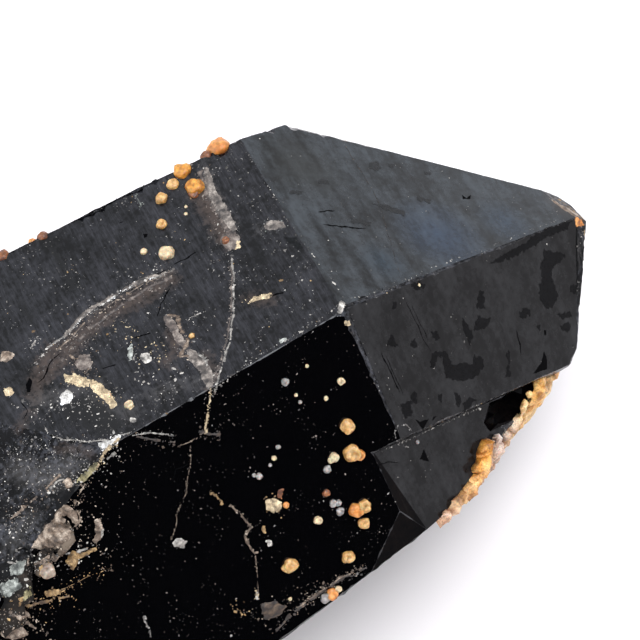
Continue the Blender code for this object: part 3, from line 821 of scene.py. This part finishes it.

# Crusts of iron-stained earth and small pale crystals, grown or stuck on the faces, most of them in the
# hollows of the broken edge, and a few pale patches on edges and a corner that are painted highlights.
# Each patch has its height in millimetres, its tones and its outline in photo pixels.
PALE = ("45423f", "98928a", "dad4ca")
WHITE = ("85827c", "d2cec8", "ffffff")
HAZE = ("2a2422", "5e534c", "94897f")
BLUISH = ("343634", "747770", "b2b4ac")
OLIVE = ("34301f", "6c6442", "a49a74")
TAN = ("3e2c1a", "86683f", "bc9c6c")
BROWN = ("140f0c", "34271e", "5e4c3a")
SMEAR = ("2a2624", "5e5650", "9c9288")
EARTH_PATCHES_AND_PAINTED_HIGHLIGHTS = (
    (0.08, SMEAR, ((210, 172), (213, 180), (218, 192), (226, 205), (233, 217), (238, 230), (231, 233),
                   (222, 222), (213, 208), (207, 196), (204, 182), (202, 168), (207, 165))),
    (0.08, SMEAR, ((177, 267), (164, 272), (145, 276), (125, 287), (111, 295), (96, 303), (80, 314),
                   (69, 327), (62, 338), (66, 338), (75, 327), (85, 317), (98, 307), (113, 299),
                   (126, 291), (146, 281), (164, 275), (176, 270))),
    (0.12, SMEAR, ((186, 348), (196, 351), (206, 360), (214, 372), (214, 388), (208, 392), (203, 382),
                   (198, 370), (188, 360))),
    (0.08, HAZE, ((164, 313), (172, 316), (180, 330), (186, 342), (184, 350), (178, 346), (170, 332),
                  (163, 322))),
    (0.06, SMEAR, ((262, 225), (270, 219), (283, 221), (288, 228), (276, 230), (268, 232))),
    (0.55, EARTH, ((65, 504), (76, 511), (72, 529), (70, 539), (58, 549), (46, 548), (30, 549), (38, 536),
                   (51, 522), (56, 511))),
    (0.30, BROWN, ((52, 526), (62, 525), (66, 534), (60, 542), (51, 540), (47, 533))),
    (0.50, TAN, ((65, 562), (71, 549), (80, 554), (93, 547), (99, 549), (80, 559), (73, 571))),
    (0.45, TAN, ((39, 568), (48, 562), (57, 566), (56, 576), (46, 579), (39, 575))),
    (0.35, BLUISH, ((8, 566), (28, 559), (22, 574), (10, 576))),
    (0.35, BLUISH, ((0, 584), (17, 577), (23, 587), (10, 597), (0, 597))),
    (0.45, TAN, ((18, 598), (30, 594), (38, 600), (34, 606), (20, 606))),
    (0.40, TAN, ((44, 590), (63, 589), (57, 596), (46, 598))),
    (0.35, OLIVE, ((22, 596), (36, 588), (45, 590), (42, 598), (24, 603))),
    (0.30, EARTH, ((36, 556), (50, 553), (60, 558), (55, 562), (44, 566), (34, 562))),
    (0.30, EARTH, ((94, 520), (100, 518), (104, 528), (100, 540), (92, 546), (95, 532))),
    (0.40, EARTH, ((0, 611), (14, 607), (24, 612), (33, 618), (22, 626), (30, 636), (12, 640), (0, 636))),
    (0.35, OLIVE, ((87, 470), (93, 463), (99, 461), (97, 469), (91, 476), (84, 482), (74, 483), (79, 476))),
    (0.30, EARTH, ((62, 481), (71, 478), (74, 486), (66, 489))),
    (0.25, PALE, ((100, 522), (104, 530), (101, 540), (97, 532))),
    (0.25, WHITE, ((66, 388), (74, 394), (71, 403), (60, 406), (60, 396))),
    (0.22, CREAM, ((64, 374), (80, 375), (91, 379), (89, 387), (76, 386), (66, 382))),
    (0.25, CREAM, ((90, 378), (102, 384), (112, 394), (118, 406), (111, 409), (101, 398), (90, 388))),
    (0.15, CREAM, ((125, 401), (132, 400), (135, 407), (129, 410), (125, 407))),
    (0.15, HAZE, ((74, 361), (80, 354), (90, 354), (94, 363), (88, 371), (78, 370))),
    (0.15, EARTH, ((0, 351), (9, 350), (16, 355), (11, 361), (0, 362))),
    (0.12, BLUISH, ((128, 344), (133, 341), (134, 352), (131, 363), (127, 356))),
    (0.20, PALE, ((130, 417), (138, 419), (136, 424), (130, 422))),
    (0.22, CREAM, ((4, 389), (12, 387), (15, 394), (6, 397))),
    # A painted highlight on the rounded ridge of the break.
    (0.20, WHITE, ((98, 442), (110, 440), (120, 433), (122, 437), (112, 445), (103, 452), (99, 449))),
    (0.25, CREAM, ((246, 304), (254, 297), (268, 293), (272, 297), (258, 301))),
    # The next two are painted highlights on and just below a corner of the crystal.
    (0.22, PALE, ((340, 299), (346, 303), (344, 310), (340, 316), (336, 310))),
    (0.20, CREAM, ((343, 320), (350, 320), (351, 326), (345, 326))),
    # The next two are painted highlights on the edge between the upper and the front face.
    (0.15, BLUISH, ((277, 340), (286, 336), (287, 341), (280, 344))),
    (0.15, PALE, ((296, 333), (303, 330), (302, 335))),
    (0.30, CREAM, ((264, 500), (274, 498), (282, 502), (283, 509), (276, 514), (267, 511))),
    (0.25, RUST, ((278, 489), (285, 488), (282, 500), (277, 498))),
    (0.20, BROWN, ((260, 604), (276, 601), (287, 606), (280, 616), (264, 620))),
    (0.22, PALE, ((172, 541), (180, 537), (188, 541), (184, 548), (174, 547))),
    (0.22, PALE, ((255, 590), (259, 592), (259, 601), (255, 600))),
    (0.20, PALE, ((265, 540), (272, 539), (274, 546), (268, 547))),
    (0.25, TAN, ((261, 526), (266, 525), (266, 535), (262, 534))),
    (0.22, CREAM, ((205, 428), (209, 427), (208, 435), (204, 435))),
    (0.20, PALE, ((201, 158), (208, 160), (211, 167), (204, 168))),
    (0.22, CREAM, ((232, 238), (240, 240), (241, 248), (235, 250))),
    (0.15, PALE, ((140, 354), (150, 352), (153, 360), (146, 364), (140, 360))),
    (0.12, EARTH, ((547, 197), (560, 195), (575, 205), (582, 217), (576, 218), (560, 208))),
    (0.15, HAZE, ((221, 234), (231, 228), (240, 237), (239, 248), (228, 251), (220, 243))),
    (0.30, ORANGE, ((574, 217), (581, 219), (584, 226), (575, 227))),
)
PATCH_STEP = 0.24 * MM
PATCH_EDGE = 0.35 * MM
PATCH_SPAN = 0.62 * MM
RIM_SINK = 0.015 * MM
SEARCH_FROM_MM = 1.5
SEARCH_LENGTH = 4 * MM


def settled(place, normal):
    """The place on the crystal's real, uneven surface under or over a place of its flat shape."""
    return real_crystal.ray_cast(place + normal * SEARCH_FROM_MM * MM, -normal, SEARCH_LENGTH)[0]


def grow_patch(corners, triangles, colours, height, tones, pixels):
    """A low domed patch with a ragged rim and an uneven top, cut where the crystal's surface has a step."""
    outline, normal = ragged_outline(pixels, 0.14)
    if len(outline) < 3:
        return
    lie = normal.to_track_quat("Z", "X").to_matrix()
    flat = [(lie.inverted() @ (place - outline[0])).to_2d() for place in outline]
    rim = np.array(flat)
    low, high = rim.min(0), rim.max(0)
    across = np.arange(low[0], high[0], PATCH_STEP)
    along = np.arange(low[1], high[1], PATCH_STEP)
    inner = [Vector((x + 0.3 * PATCH_STEP * math.sin(y * 9e4), y + 0.3 * PATCH_STEP * math.sin(x * 7e4)))
             for x in across for y in along]
    rim_edges = [(number, (number + 1) % len(flat)) for number in range(len(flat))]
    cut = geometry.delaunay_2d_cdt(flat + inner, rim_edges, [], 1, 1e-8)
    grounds = [settled(outline[0] + lie @ spot.to_3d(), normal) for spot in cut[0]]
    kept, at_steps = [], set()
    for face in cut[2]:
        met = [grounds[index] for index in face]
        sides = zip(met, met[1:] + met[:1])
        if None in met or max((one - two).length for one, two in sides) > PATCH_SPAN:
            at_steps.update(face)
        else:
            kept.append(face)
    new_index = {}
    for index in sorted({index for face in kept for index in face}):
        new_index[index] = len(corners)
        ground = grounds[index]
        where = ground / MM
        edge_gap = np.sqrt(((rim - np.array(cut[0][index])) ** 2).sum(1)).min()
        rise = 0.0 if index in at_steps else min(1.0, edge_gap / PATCH_EDGE) ** 0.6
        bumpy = waves(where, (0.6, 1.6), (0.45, 4.5), base=0.55)
        corners.append(ground + normal * (height * MM * rise * bumpy - RIM_SINK * (1 - rise)))
        colours.append(tone_at(tones, waves(where, (0.75, 1.9), (0.7, 5.2), base=0.5)))
    triangles += [[new_index[index] for index in face] for face in kept]


patch_corners, patch_triangles, patch_tones = [], [], []
for height, tones, pixels in EARTH_PATCHES_AND_PAINTED_HIGHLIGHTS:
    grow_patch(patch_corners, patch_triangles, patch_tones, height, tones, pixels)
# Dried earth is dull and gritty.
toned_piece(mesh_of("earth_crusts_and_painted_highlights", patch_corners, patch_triangles), patch_tones,
            mineral_skin("crusted_earth", 0.6, 0.14, 0.6, 0.5))

# The ochre crust: iron-stained earth and small grains baked together, grown on the quartz under the
# lower front rim. Each of its tones is seen around one pixel of the photograph.
CRUST_TONES = (
    ((570, 354), ("7a4a24", "c4864a", "ecc088")), ((559, 369), ("8a5428", "cf9454", "f0c890")),
    ((542, 381), ("8a7048", "c8ac7c", "e8d8b4")), ((538, 393), ("9a6420", "d8a050", "f2cc88")),
    ((518, 410), ("7a5a44", "bc9478", "e4c8b0")), ((513, 424), ("4a2416", "8a5034", "b88460")),
    ((502, 436), ("6a5850", "ac988c", "dccec4")), ((484, 448), ("5a3414", "a86c28", "d8a04c")),
    ((482, 460), ("a05c14", "e09838", "f8c470")), ((476, 474), ("8a5a24", "c88c48", "ecc084")),
    ((458, 500), ("5c3c20", "a07448", "d4ac78")), ((446, 517), ("94684c", "d4a888", "f4dcc8")),
    ((434, 522), ("6a6460", "b8b0a8", "ece8e0")), ((330, 594), ("8a4c1c", "d0803c", "f0b880")),
)
CRUST_STEP = 0.36 * MM
QUARTZ_CONTACT = 0.45 * MM
SUNK_MM = 0.15
BOX_MARGIN = 0.01 * MM
crust_shape = bmesh.new()
crust_shape.from_mesh(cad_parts["ochre_crust"].data)
bmesh.ops.remove_doubles(crust_shape, verts=crust_shape.verts, dist=MERGED)
roughen(crust_shape, lambda face: True, CRUST_STEP, 4)
crust_shape.normal_update()
bare_crust = BVHTree.FromBMesh(crust_shape)
tone_spots = [(seen(*pixel, bare_crust)[0], tones) for pixel, tones in CRUST_TONES]
tone_spots = [(place, tones) for place, tones in tone_spots if place is not None]
crust_tones = []
for vert in crust_shape.verts:
    where = vert.co / MM
    knobbly = waves(where, (0.16, 0.8), (0.07, 2.2), (0.03, 4.8))
    ground, facing, _, distance = real_crystal.find_nearest(vert.co)
    if distance < QUARTZ_CONTACT:
        vert.co = ground - facing * SUNK_MM * MM
    else:
        vert.co += vert.normal * knobbly * MM
    gaps = sorted(((place - vert.co).length + 0.5 * MM * noise.noise(where * 1.3 + place / MM), tones)
                  for place, tones in tone_spots)
    # Painted shade: the tone is paler on the knobs and darker in the dips between them.
    value = waves(where, (0.7, 1.1), (0.4, 3.9), base=0.5) + 1.2 * knobbly
    first, second = tone_at(gaps[0][1], value), tone_at(gaps[1][1], value)
    part = 0.5 * min(1.0, max(gaps[0][0], 0.0) / max(gaps[1][0], 1e-6))
    crust_tones.append([a + (b - a) * part for a, b in zip(first, second)])
keep_in_box(crust_shape, BOX_MARGIN)
crust_mesh = mesh_from("ochre_crust_skin", crust_shape)
crust_mesh.shade_smooth()
# Baked ochre is dull with a warm glow where it is thin.
crust = toned_piece(crust_mesh, crust_tones,
                    mineral_skin("iron_stained_crust", 0.55, 0.16, 0.5, 0.4, Subsurface_Weight=0.15,
                                 Subsurface_Scale=0.6 * MM))
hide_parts("ochre_crust")

# Healed cracks and dust: thin raised lines of pale quartz and clay where cracks grew shut, with
# thousands of low grains along them and on every face. A vein gives the width of its line and the
# spread of its grains in millimetres, its grains in each millimetre, their middle width in millimetres,
# its tones and its pixels.
# Some rows are painted light, not veins: a white line on the rounded ridge of the break is a painted
# highlight, and the grains strewn along the crystal's edges are painted glints.
VEINS_AND_PAINTED_GLINTS = (
    (0.00, 0.22, 9, 0.10, PALE, ((204, 170), (209, 179), (212, 191), (220, 206), (227, 218), (234, 231),
                                 (238, 234))),
    (0.60, 0.45, 14, 0.10, HAZE, ((198, 168), (206, 190), (216, 212), (230, 233))),
    (0.30, 0.06, 6, 0.08, PALE, ((232, 254), (233, 272), (234, 299), (232, 325), (229, 343), (223, 361),
                                 (218, 382), (211, 398))),
    (0.26, 0.14, 12, 0.09, HAZE, ((231, 262), (232, 299), (229, 330), (218, 368), (211, 398))),
    (0.30, 0.15, 8, 0.10, PALE, ((177, 268), (164, 275), (145, 279), (125, 290), (111, 299), (96, 307),
                                 (80, 318), (70, 331), (59, 340), (46, 349), (36, 365))),
    (0.32, 0.10, 8, 0.10, WHITE, ((156, 277), (145, 279), (125, 290), (111, 299), (104, 303))),
    (0.00, 0.10, 12, 0.10, WHITE, ((90, 312), (80, 318), (72, 328))),
    (0.20, 0.20, 10, 0.09, EARTH, ((172, 272), (146, 283), (127, 294), (112, 303), (90, 317), (72, 336),
                                   (56, 352))),
    (0.50, 0.65, 18, 0.09, HAZE, ((172, 277), (146, 289), (127, 301), (112, 312), (90, 328), (74, 346),
                                  (60, 362))),
    (0.42, 0.16, 10, 0.10, EARTH, ((166, 315), (177, 316), (182, 331), (188, 340), (184, 348), (180, 357),
                                   (196, 354))),
    (0.55, 0.16, 10, 0.10, PALE, ((198, 354), (207, 365), (211, 377), (209, 391))),
    (0.30, 0.35, 14, 0.10, CREAM, ((68, 377), (89, 382), (100, 389), (114, 405))),
    (0.30, 0.40, 14, 0.13, PALE, ((66, 390), (70, 398), (61, 405))),
    (0.18, 0.07, 14, 0.08, PALE, ((45, 426), (50, 435), (63, 440), (93, 441), (106, 440), (119, 435),
                                  (149, 433), (174, 435))),
    # A painted highlight on the rounded ridge of the break.
    (0.30, 0.25, 16, 0.12, WHITE, ((119, 435), (108, 445), (103, 451))),
    (0.20, 0.22, 10, 0.10, PALE, ((38, 336), (34, 344), (30, 350))),
    (0.18, 0.25, 8, 0.10, BLUISH, ((141, 207), (138, 200), (135, 193))),
    (0.20, 0.18, 10, 0.10, CREAM, ((246, 303), (258, 297), (273, 294))),
    (0.00, 0.35, 16, 0.09, BLUISH, ((264, 226), (284, 227))),
    (0.14, 0.30, 9, 0.09, PALE, ((189, 318), (202, 313))),
    (0.14, 0.10, 8, 0.09, PALE, ((132, 350), (134, 356), (132, 361))),
    (0.00, 0.80, 9, 0.09, CREAM, ((118, 322), (134, 338), (150, 352), (166, 360))),
    (0.00, 0.90, 10, 0.09, PALE, ((140, 370), (160, 390), (185, 382), (200, 372))),
    (0.30, 0.50, 12, 0.10, EARTH, ((66, 352), (78, 360), (90, 366), (86, 374), (70, 372))),
    (0.00, 0.90, 14, 0.10, PALE, ((20, 420), (50, 408), (80, 404), (100, 415))),
    (0.20, 0.07, 16, 0.09, CREAM, ((210, 388), (209, 405), (207, 420), (205, 431))),
    (0.40, 0.35, 16, 0.08, BROWN, ((199, 431), (210, 434), (222, 435))),
    (0.45, 0.16, 16, 0.10, CREAM, ((119, 438), (110, 446), (104, 454), (101, 462), (94, 468))),
    (0.25, 0.30, 16, 0.10, EARTH, ((88, 480), (82, 490), (76, 500), (74, 510))),
    (0.30, 0.45, 14, 0.08, BROWN, ((136, 436), (156, 440), (176, 442))),
    (0.08, 0.05, 9, 0.07, EARTH, ((190, 446), (191, 463), (187, 479), (186, 493), (176, 516), (176, 526),
                                  (171, 541))),
    (0.10, 0.05, 8, 0.07, EARTH, ((205, 431), (196, 438), (189, 443), (178, 446))),
    (0.30, 0.08, 14, 0.10, EARTH, ((230, 505), (241, 514), (246, 521), (251, 527), (245, 536), (248, 544),
                                   (253, 551), (255, 554))),
    (0.20, 0.10, 11, 0.10, TAN, ((209, 493), (216, 495), (223, 503))),
    (0.12, 0.08, 14, 0.09, PALE, ((144, 615), (148, 626), (152, 637))),
    (0.00, 0.45, 10, 0.10, TAN, ((230, 602), (245, 612))),
    (0.00, 0.35, 14, 0.11, TAN, ((265, 500), (275, 506), (281, 512))),
    (0.07, 0.05, 9, 0.07, EARTH, ((255, 555), (257, 575), (258, 595))),
    (0.20, 0.10, 12, 0.10, CREAM, ((256, 590), (257, 600))),
    (0.36, 0.35, 14, 0.10, BROWN, ((367, 567), (344, 577), (320, 594), (295, 612), (275, 631))),
    (0.30, 0.25, 10, 0.10, EARTH, ((362, 568), (340, 578), (316, 595), (296, 609))),
    (0.00, 0.60, 8, 0.08, EARTH, ((338, 583), (312, 590), (292, 602), (268, 610), (252, 622))),
    (0.08, 0.04, 9, 0.07, GREY, ((398, 425), (395, 432), (396, 440), (401, 446), (408, 447))),
    (0.07, 0.04, 9, 0.07, GREY, ((401, 425), (407, 425), (411, 430))),
    # These five strew pale and grey grains along the crystal's edges: painted glints where light catches
    # the chips.
    (0.00, 0.05, 7, 0.08, PALE, ((482, 407), (462, 416), (440, 425), (420, 434), (400, 443), (386, 449))),
    (0.00, 0.06, 1.6, 0.09, PALE, ((343, 299), (362, 296), (385, 288), (420, 273), (450, 261), (484, 249),
                                   (504, 241), (540, 226), (566, 219))),
    (0.00, 0.06, 1.6, 0.09, PALE, ((240, 142), (257, 170), (274, 195), (286, 218), (310, 251), (336, 285),
                                   (343, 298))),
    (0.00, 0.10, 5, 0.10, PALE, ((343, 303), (330, 312), (300, 333), (283, 342), (262, 353), (230, 378),
                                 (205, 398))),
    (0.00, 0.05, 1.5, 0.07, GREY, ((344, 302), (356, 330), (372, 360), (392, 395), (405, 422))),
    (0.20, 0.22, 14, 0.10, TAN, ((556, 197), (575, 208), (584, 222))),
    (0.14, 0.08, 14, 0.10, CREAM, ((584, 230), (585, 240), (584, 262))),
    (0.10, 0.05, 12, 0.07, PALE, ((583, 262), (582, 300), (579, 330))),
    (0.05, 0.03, 4, 0.06, BROWN, ((345, 146), (371, 187), (378, 202), (400, 273))),
    (0.30, 0.50, 12, 0.10, EARTH, ((10, 520), (24, 508), (44, 490), (62, 474))),
    (0.30, 0.90, 16, 0.11, PALE, ((4, 560), (22, 566), (40, 560), (60, 556), (90, 548))),
    (0.40, 1.10, 22, 0.11, EARTH, ((4, 610), (20, 618), (34, 628), (50, 634))),
    (0.40, 0.80, 16, 0.11, TAN, ((10, 600), (30, 606), (50, 600), (70, 596))),
    (0.30, 0.80, 16, 0.11, EARTH, ((74, 500), (80, 520), (72, 545), (50, 560), (26, 566))),
    (0.30, 0.60, 14, 0.11, PALE, ((46, 492), (58, 482), (84, 470), (104, 462), (116, 452))),
    (0.00, 0.60, 9, 0.10, EARTH, ((88, 538), (100, 560), (110, 576))),
    (0.10, 0.35, 12, 0.09, TAN, ((60, 590), (90, 575), (112, 570))),
    (0.00, 0.60, 3, 0.08, EARTH, ((126, 440), (118, 458), (108, 478), (100, 500))),
    (0.00, 1.20, 22, 0.08, PALE, ((10, 470), (40, 468), (70, 452))),
    (0.00, 1.4, 22, 0.08, PALE, ((6, 500), (40, 505))),
    (0.00, 1.20, 20, 0.08, PALE, ((6, 532), (30, 530))),
)
DUST = ("38352f", "77716b", "b0aaa2")
# Dust by the kinds of face it lies on: grains in a square millimetre, their middle width and their tones.
GENERAL_DUST = (
    ((UPPER,), 4.0, 0.060, GREY), ((UPPER,), 1.3, 0.085, DUST), ((UPPER,), 0.10, 0.12, PALE),
    ((UPPER,), 0.2, 0.10, TAN), ((FRONT,), 2.6, 0.055, HAZE), ((FRONT,), 0.15, 0.11, GREY),
    ((TIP_TOP, TIP_FRONT), 0.35, 0.055, PALE), ((SIDES,), 1.2, 0.09, GREY), ((SIDES,), 0.3, 0.14, TAN),
    ((BROKEN,), 6.5, 0.07, GREY), ((BROKEN,), 1.8, 0.09, DUST),
)
LINE_STEP = 0.10 * MM
LINE_SPAN = 0.25 * MM
LINE_HEIGHT_MM = 0.035
LINE_WANDER_MM = 0.14
GRAIN_WANDER_MM = 0.12


def met_by(pixels):
    """Where the crystal is met at some pixels, without those that miss it."""
    return [place for place in (seen(*pixel)[0] for pixel in pixels) if place is not None]


def wandered(spot, most_mm):
    """A spot moved a little aside, the same way as its neighbours."""
    return spot + Vector(noise.noise_vector(spot / MM * 0.8)) * most_mm * MM


line_corners, line_faces, line_tones = [], [], []
for width, _, _, _, tones, pixels in VEINS_AND_PAINTED_GLINTS:
    joined = False
    for spot, run in steps_along(met_by(pixels) if width else [], LINE_STEP):
        spot = wandered(spot, LINE_WANDER_MM)
        ground, normal = real_crystal.find_nearest(spot)[:2]
        where = spot / MM
        half = run.cross(normal).normalized() * width * MM
        half *= 0.15 + 0.55 * abs(noise.noise(where * 1.9)) + 0.25 * abs(noise.noise(where * 5.0))
        value = waves(where, (0.6, 2.6), (0.4, 7.0), base=0.38)
        # Painted light: each line is paler along its raised crest and darker at its two sides.
        line_corners += [ground - half, ground + normal * LINE_HEIGHT_MM * MM, ground + half]
        line_tones += [tone_at(tones, value - 0.3), tone_at(tones, value), tone_at(tones, value - 0.3)]
        last = len(line_corners) - 3
        here = noise.noise(where * 1.1 + Vector((9, 0, 0))) > -0.22
        if joined and here and (ground - before).length < LINE_SPAN:
            line_faces += [(last - 3, last - 2, last + 1, last), (last - 2, last - 1, last + 2, last + 1)]
        joined, before = here, ground
# Pale quartz and clay in a crack are fine-grained, with a faint gloss.
toned_piece(mesh_of("healed_cracks_and_painted_highlight", line_corners, line_faces), line_tones,
            mineral_skin("healed_crack", 0.5, 0.12, 0.3, 0.4))

# The dust and the painted glints: each grain is a low five-sided chip, laid on the crystal's real surface.
SEED = 11
GRAIN_SIDES = 5
LEAST_GRAIN, MOST_GRAIN = 0.03, 0.36
TONE_STEPS = 24
dice = np.random.default_rng(SEED)
crystal_mesh.calc_loop_triangles()


def of_triangles(field, width, kind=float):
    """A field of the crystal's triangles as an array."""
    values = np.zeros(len(crystal_mesh.loop_triangles) * width, kind)
    crystal_mesh.loop_triangles.foreach_get(field, values)
    return values.reshape(-1, width)


triangle_corners = np.array(real_corners)[of_triangles("vertices", 3, np.int32)]
triangle_areas = of_triangles("area", 1)[:, 0]
triangle_normals = of_triangles("normal", 3)
triangle_kinds = of_triangles("material_index", 1, np.int32)[:, 0]
grain_places, grain_normals, grain_widths, grain_tones = [], [], [], []


def strew(places, normals, width, tones):
    """Add grains of about one width at places on the crystal, each of its own width and colour."""
    count = len(places)
    grain_places.append(places)
    grain_normals.append(normals)
    widths = np.clip(width * dice.lognormal(0.0, 0.45, count), LEAST_GRAIN, MOST_GRAIN)
    grain_widths.append(widths * MM)
    palette = np.array([tone_at(tones, value) for value in np.linspace(0, 1, TONE_STEPS)])
    grain_tones.append(palette[(dice.random(count) ** 1.5 * (TONE_STEPS - 1)).astype(int)])


for kinds, per_square_mm, width, tones in GENERAL_DUST:
    weights = triangle_areas * np.isin(triangle_kinds, kinds)
    count = int(weights.sum() / MM ** 2 * per_square_mm)
    chosen = dice.choice(len(weights), count, p=weights / weights.sum())
    first, second = dice.random((2, count, 1))
    over = first + second > 1
    first, second = np.where(over, 1 - first, first), np.where(over, 1 - second, second)
    corner, along, across = (triangle_corners[chosen, number] for number in range(3))
    places = corner + first * (along - corner) + second * (across - corner)
    clumps = np.array([noise.noise(Vector(place) / MM * 0.35) for place in places])
    kept = dice.random(count) < np.clip(0.45 + 2.0 * clumps, 0.06, 1)
    strew(places[kept], triangle_normals[chosen][kept], width, tones)

for _, spread, per_mm, width, tones, pixels in VEINS_AND_PAINTED_GLINTS:
    met = met_by(pixels)
    strewn = []
    for first, second in zip(met, met[1:]):
        for _ in range(max(1, round((second - first).length / MM * per_mm))):
            spot = first.lerp(second, dice.random()) + Vector(dice.normal(0, spread * MM, 3))
            strewn.append(real_crystal.find_nearest(wandered(spot, GRAIN_WANDER_MM))[:2])
    if strewn:
        places, normals = zip(*strewn)
        strew(np.array(places), np.array(normals), width, tones)

grain_places = np.concatenate(grain_places)
grain_normals = np.concatenate(grain_normals)
grain_widths = np.concatenate(grain_widths)[:, None]
grain_tones = np.concatenate(grain_tones)
off_normal = np.where(np.abs(grain_normals[:, :1]) < 0.9, (1.0, 0.0, 0.0), (0.0, 1.0, 0.0))
aside = np.cross(grain_normals, off_normal)
aside /= np.linalg.norm(aside, axis=1)[:, None]
ahead = np.cross(grain_normals, aside)
lay = dice.uniform(0, 2 * math.pi, grain_widths.shape)
long_way = aside * np.cos(lay) + ahead * np.sin(lay)
short_way = ahead * np.cos(lay) - aside * np.sin(lay)
stretch = dice.uniform(1.0, 1.9, grain_widths.shape)
rings = []
for side in range(GRAIN_SIDES):
    angle = 2 * math.pi * (side + dice.uniform(-0.25, 0.25, grain_widths.shape)) / GRAIN_SIDES
    reach = grain_widths / 2 * dice.uniform(0.6, 1.2, grain_widths.shape)
    rings.append(grain_places + reach * (long_way * np.cos(angle) * stretch + short_way * np.sin(angle)))
rings.append(grain_places + grain_normals * grain_widths * dice.uniform(0.15, 0.35, grain_widths.shape))
grain_corners = np.stack(rings, axis=1).reshape(-1, 3)
low, high = (np.array(corner) for corner in cad_box)
grain_corners = np.clip(grain_corners, low + BOX_MARGIN, high - BOX_MARGIN)
starts = np.arange(len(grain_places))[:, None] * (GRAIN_SIDES + 1)
grain_faces = np.concatenate([starts + np.array([[side, (side + 1) % GRAIN_SIDES, GRAIN_SIDES]])
                              for side in range(GRAIN_SIDES)])
# Mineral dust is dull, and each grain has one tone.
toned_piece(mesh_of("dust_crystals_and_painted_glints", grain_corners.tolist(), grain_faces.tolist()),
            np.repeat(grain_tones, GRAIN_SIDES + 1, axis=0).tolist(),
            mineral_skin("mineral_dust", 0.55, 0.2, 0.2, 0.2))

# The studio: a sheet of matt white paper in a white room. A soft lamp is on the left and a soft box
# above the front. A bright strip lies low behind to the right, and it is dark in front, where the
# camera stands.
FLOOR_SIZE = 2.4
FLOOR_MIDDLE = 1.0
# Each light: the way to it, the cosines where it starts and is full, and its brightness outside and
# inside.
LAMP = ((-0.85, 0.20, 0.49), 0.70, 1.0, 0.80, 2.1)
SOFT_BOX = ((0.24, -0.50, 0.832), 0.78, 1.0, 0.0, 6.5)
WINDOW = ((0.80, 0.58, 0.14), 0.92, 1.0, 0.0, 1.0)
DARK_FRONT = ((0.080, -0.992, 0.100), 0.6, 0.9, 1.0, 0.0)
STRIP_TOP, STRIP_FULL = 0.095, 0.045
STRIP_BRIGHTNESS = 0.75
ROOM_WHITE = (0.95, 0.98, 1.04, 1)
floor_shape = bmesh.new()
bmesh.ops.create_grid(floor_shape, x_segments=1, y_segments=1, size=FLOOR_SIZE / 2)
floor_mesh = mesh_from("white_surface", floor_shape)
floor = in_scene("white_surface", floor_mesh)
floor.location = (0.0, FLOOR_MIDDLE, cad_box[0][2])
# Matt paper: nearly white, with soft shadows and a faint glow of its own.
paper, tree, shader = new_material("matt_white_paper", Roughness=0.8, Specular_IOR_Level=0.2,
                                   Emission_Strength=0.02)
shader.inputs["Base Color"].default_value = srgb("f2ecea")
shader.inputs["Emission Color"].default_value = srgb("ffffff")
floor_mesh.materials.append(paper)

room = bpy.data.worlds.new("studio")
bpy.context.scene.world = room
room.use_nodes = True
tree = room.node_tree
way = add(tree, "TexCoord").outputs["Generated"]


def faded(value, start, end, low, high):
    """A value that goes smoothly from low to high as another one crosses a span."""
    return add(tree, "MapRange", {"Value": value, "From Min": start, "From Max": end, "To Min": low,
                                  "To Max": high}, interpolation_type="SMOOTHSTEP").outputs[0]


def toward(direction, *fade):
    """A value that changes smoothly as the way looked nears a direction."""
    turned = add(tree, "VectorMath", {0: way, 1: direction}, operation="DOT_PRODUCT").outputs["Value"]
    return faded(turned, *fade)


lamps = add(tree, "Math", {0: toward(*LAMP), 1: toward(*SOFT_BOX)}, operation="ADD").outputs[0]
upward = add(tree, "SeparateXYZ", {0: way}).outputs[2]
strip = faded(upward, STRIP_TOP, STRIP_FULL, 0.0, STRIP_BRIGHTNESS)
lit = add(tree, "Math", {0: toward(*WINDOW), 1: strip, 2: lamps}, operation="MULTIPLY_ADD").outputs[0]
shaded = add(tree, "Math", {0: lit, 1: toward(*DARK_FRONT)}, operation="MULTIPLY").outputs[0]
background = tree.nodes["Background"]
tree.links.new(shaded, background.inputs["Strength"])
background.inputs["Color"].default_value = ROOM_WHITE
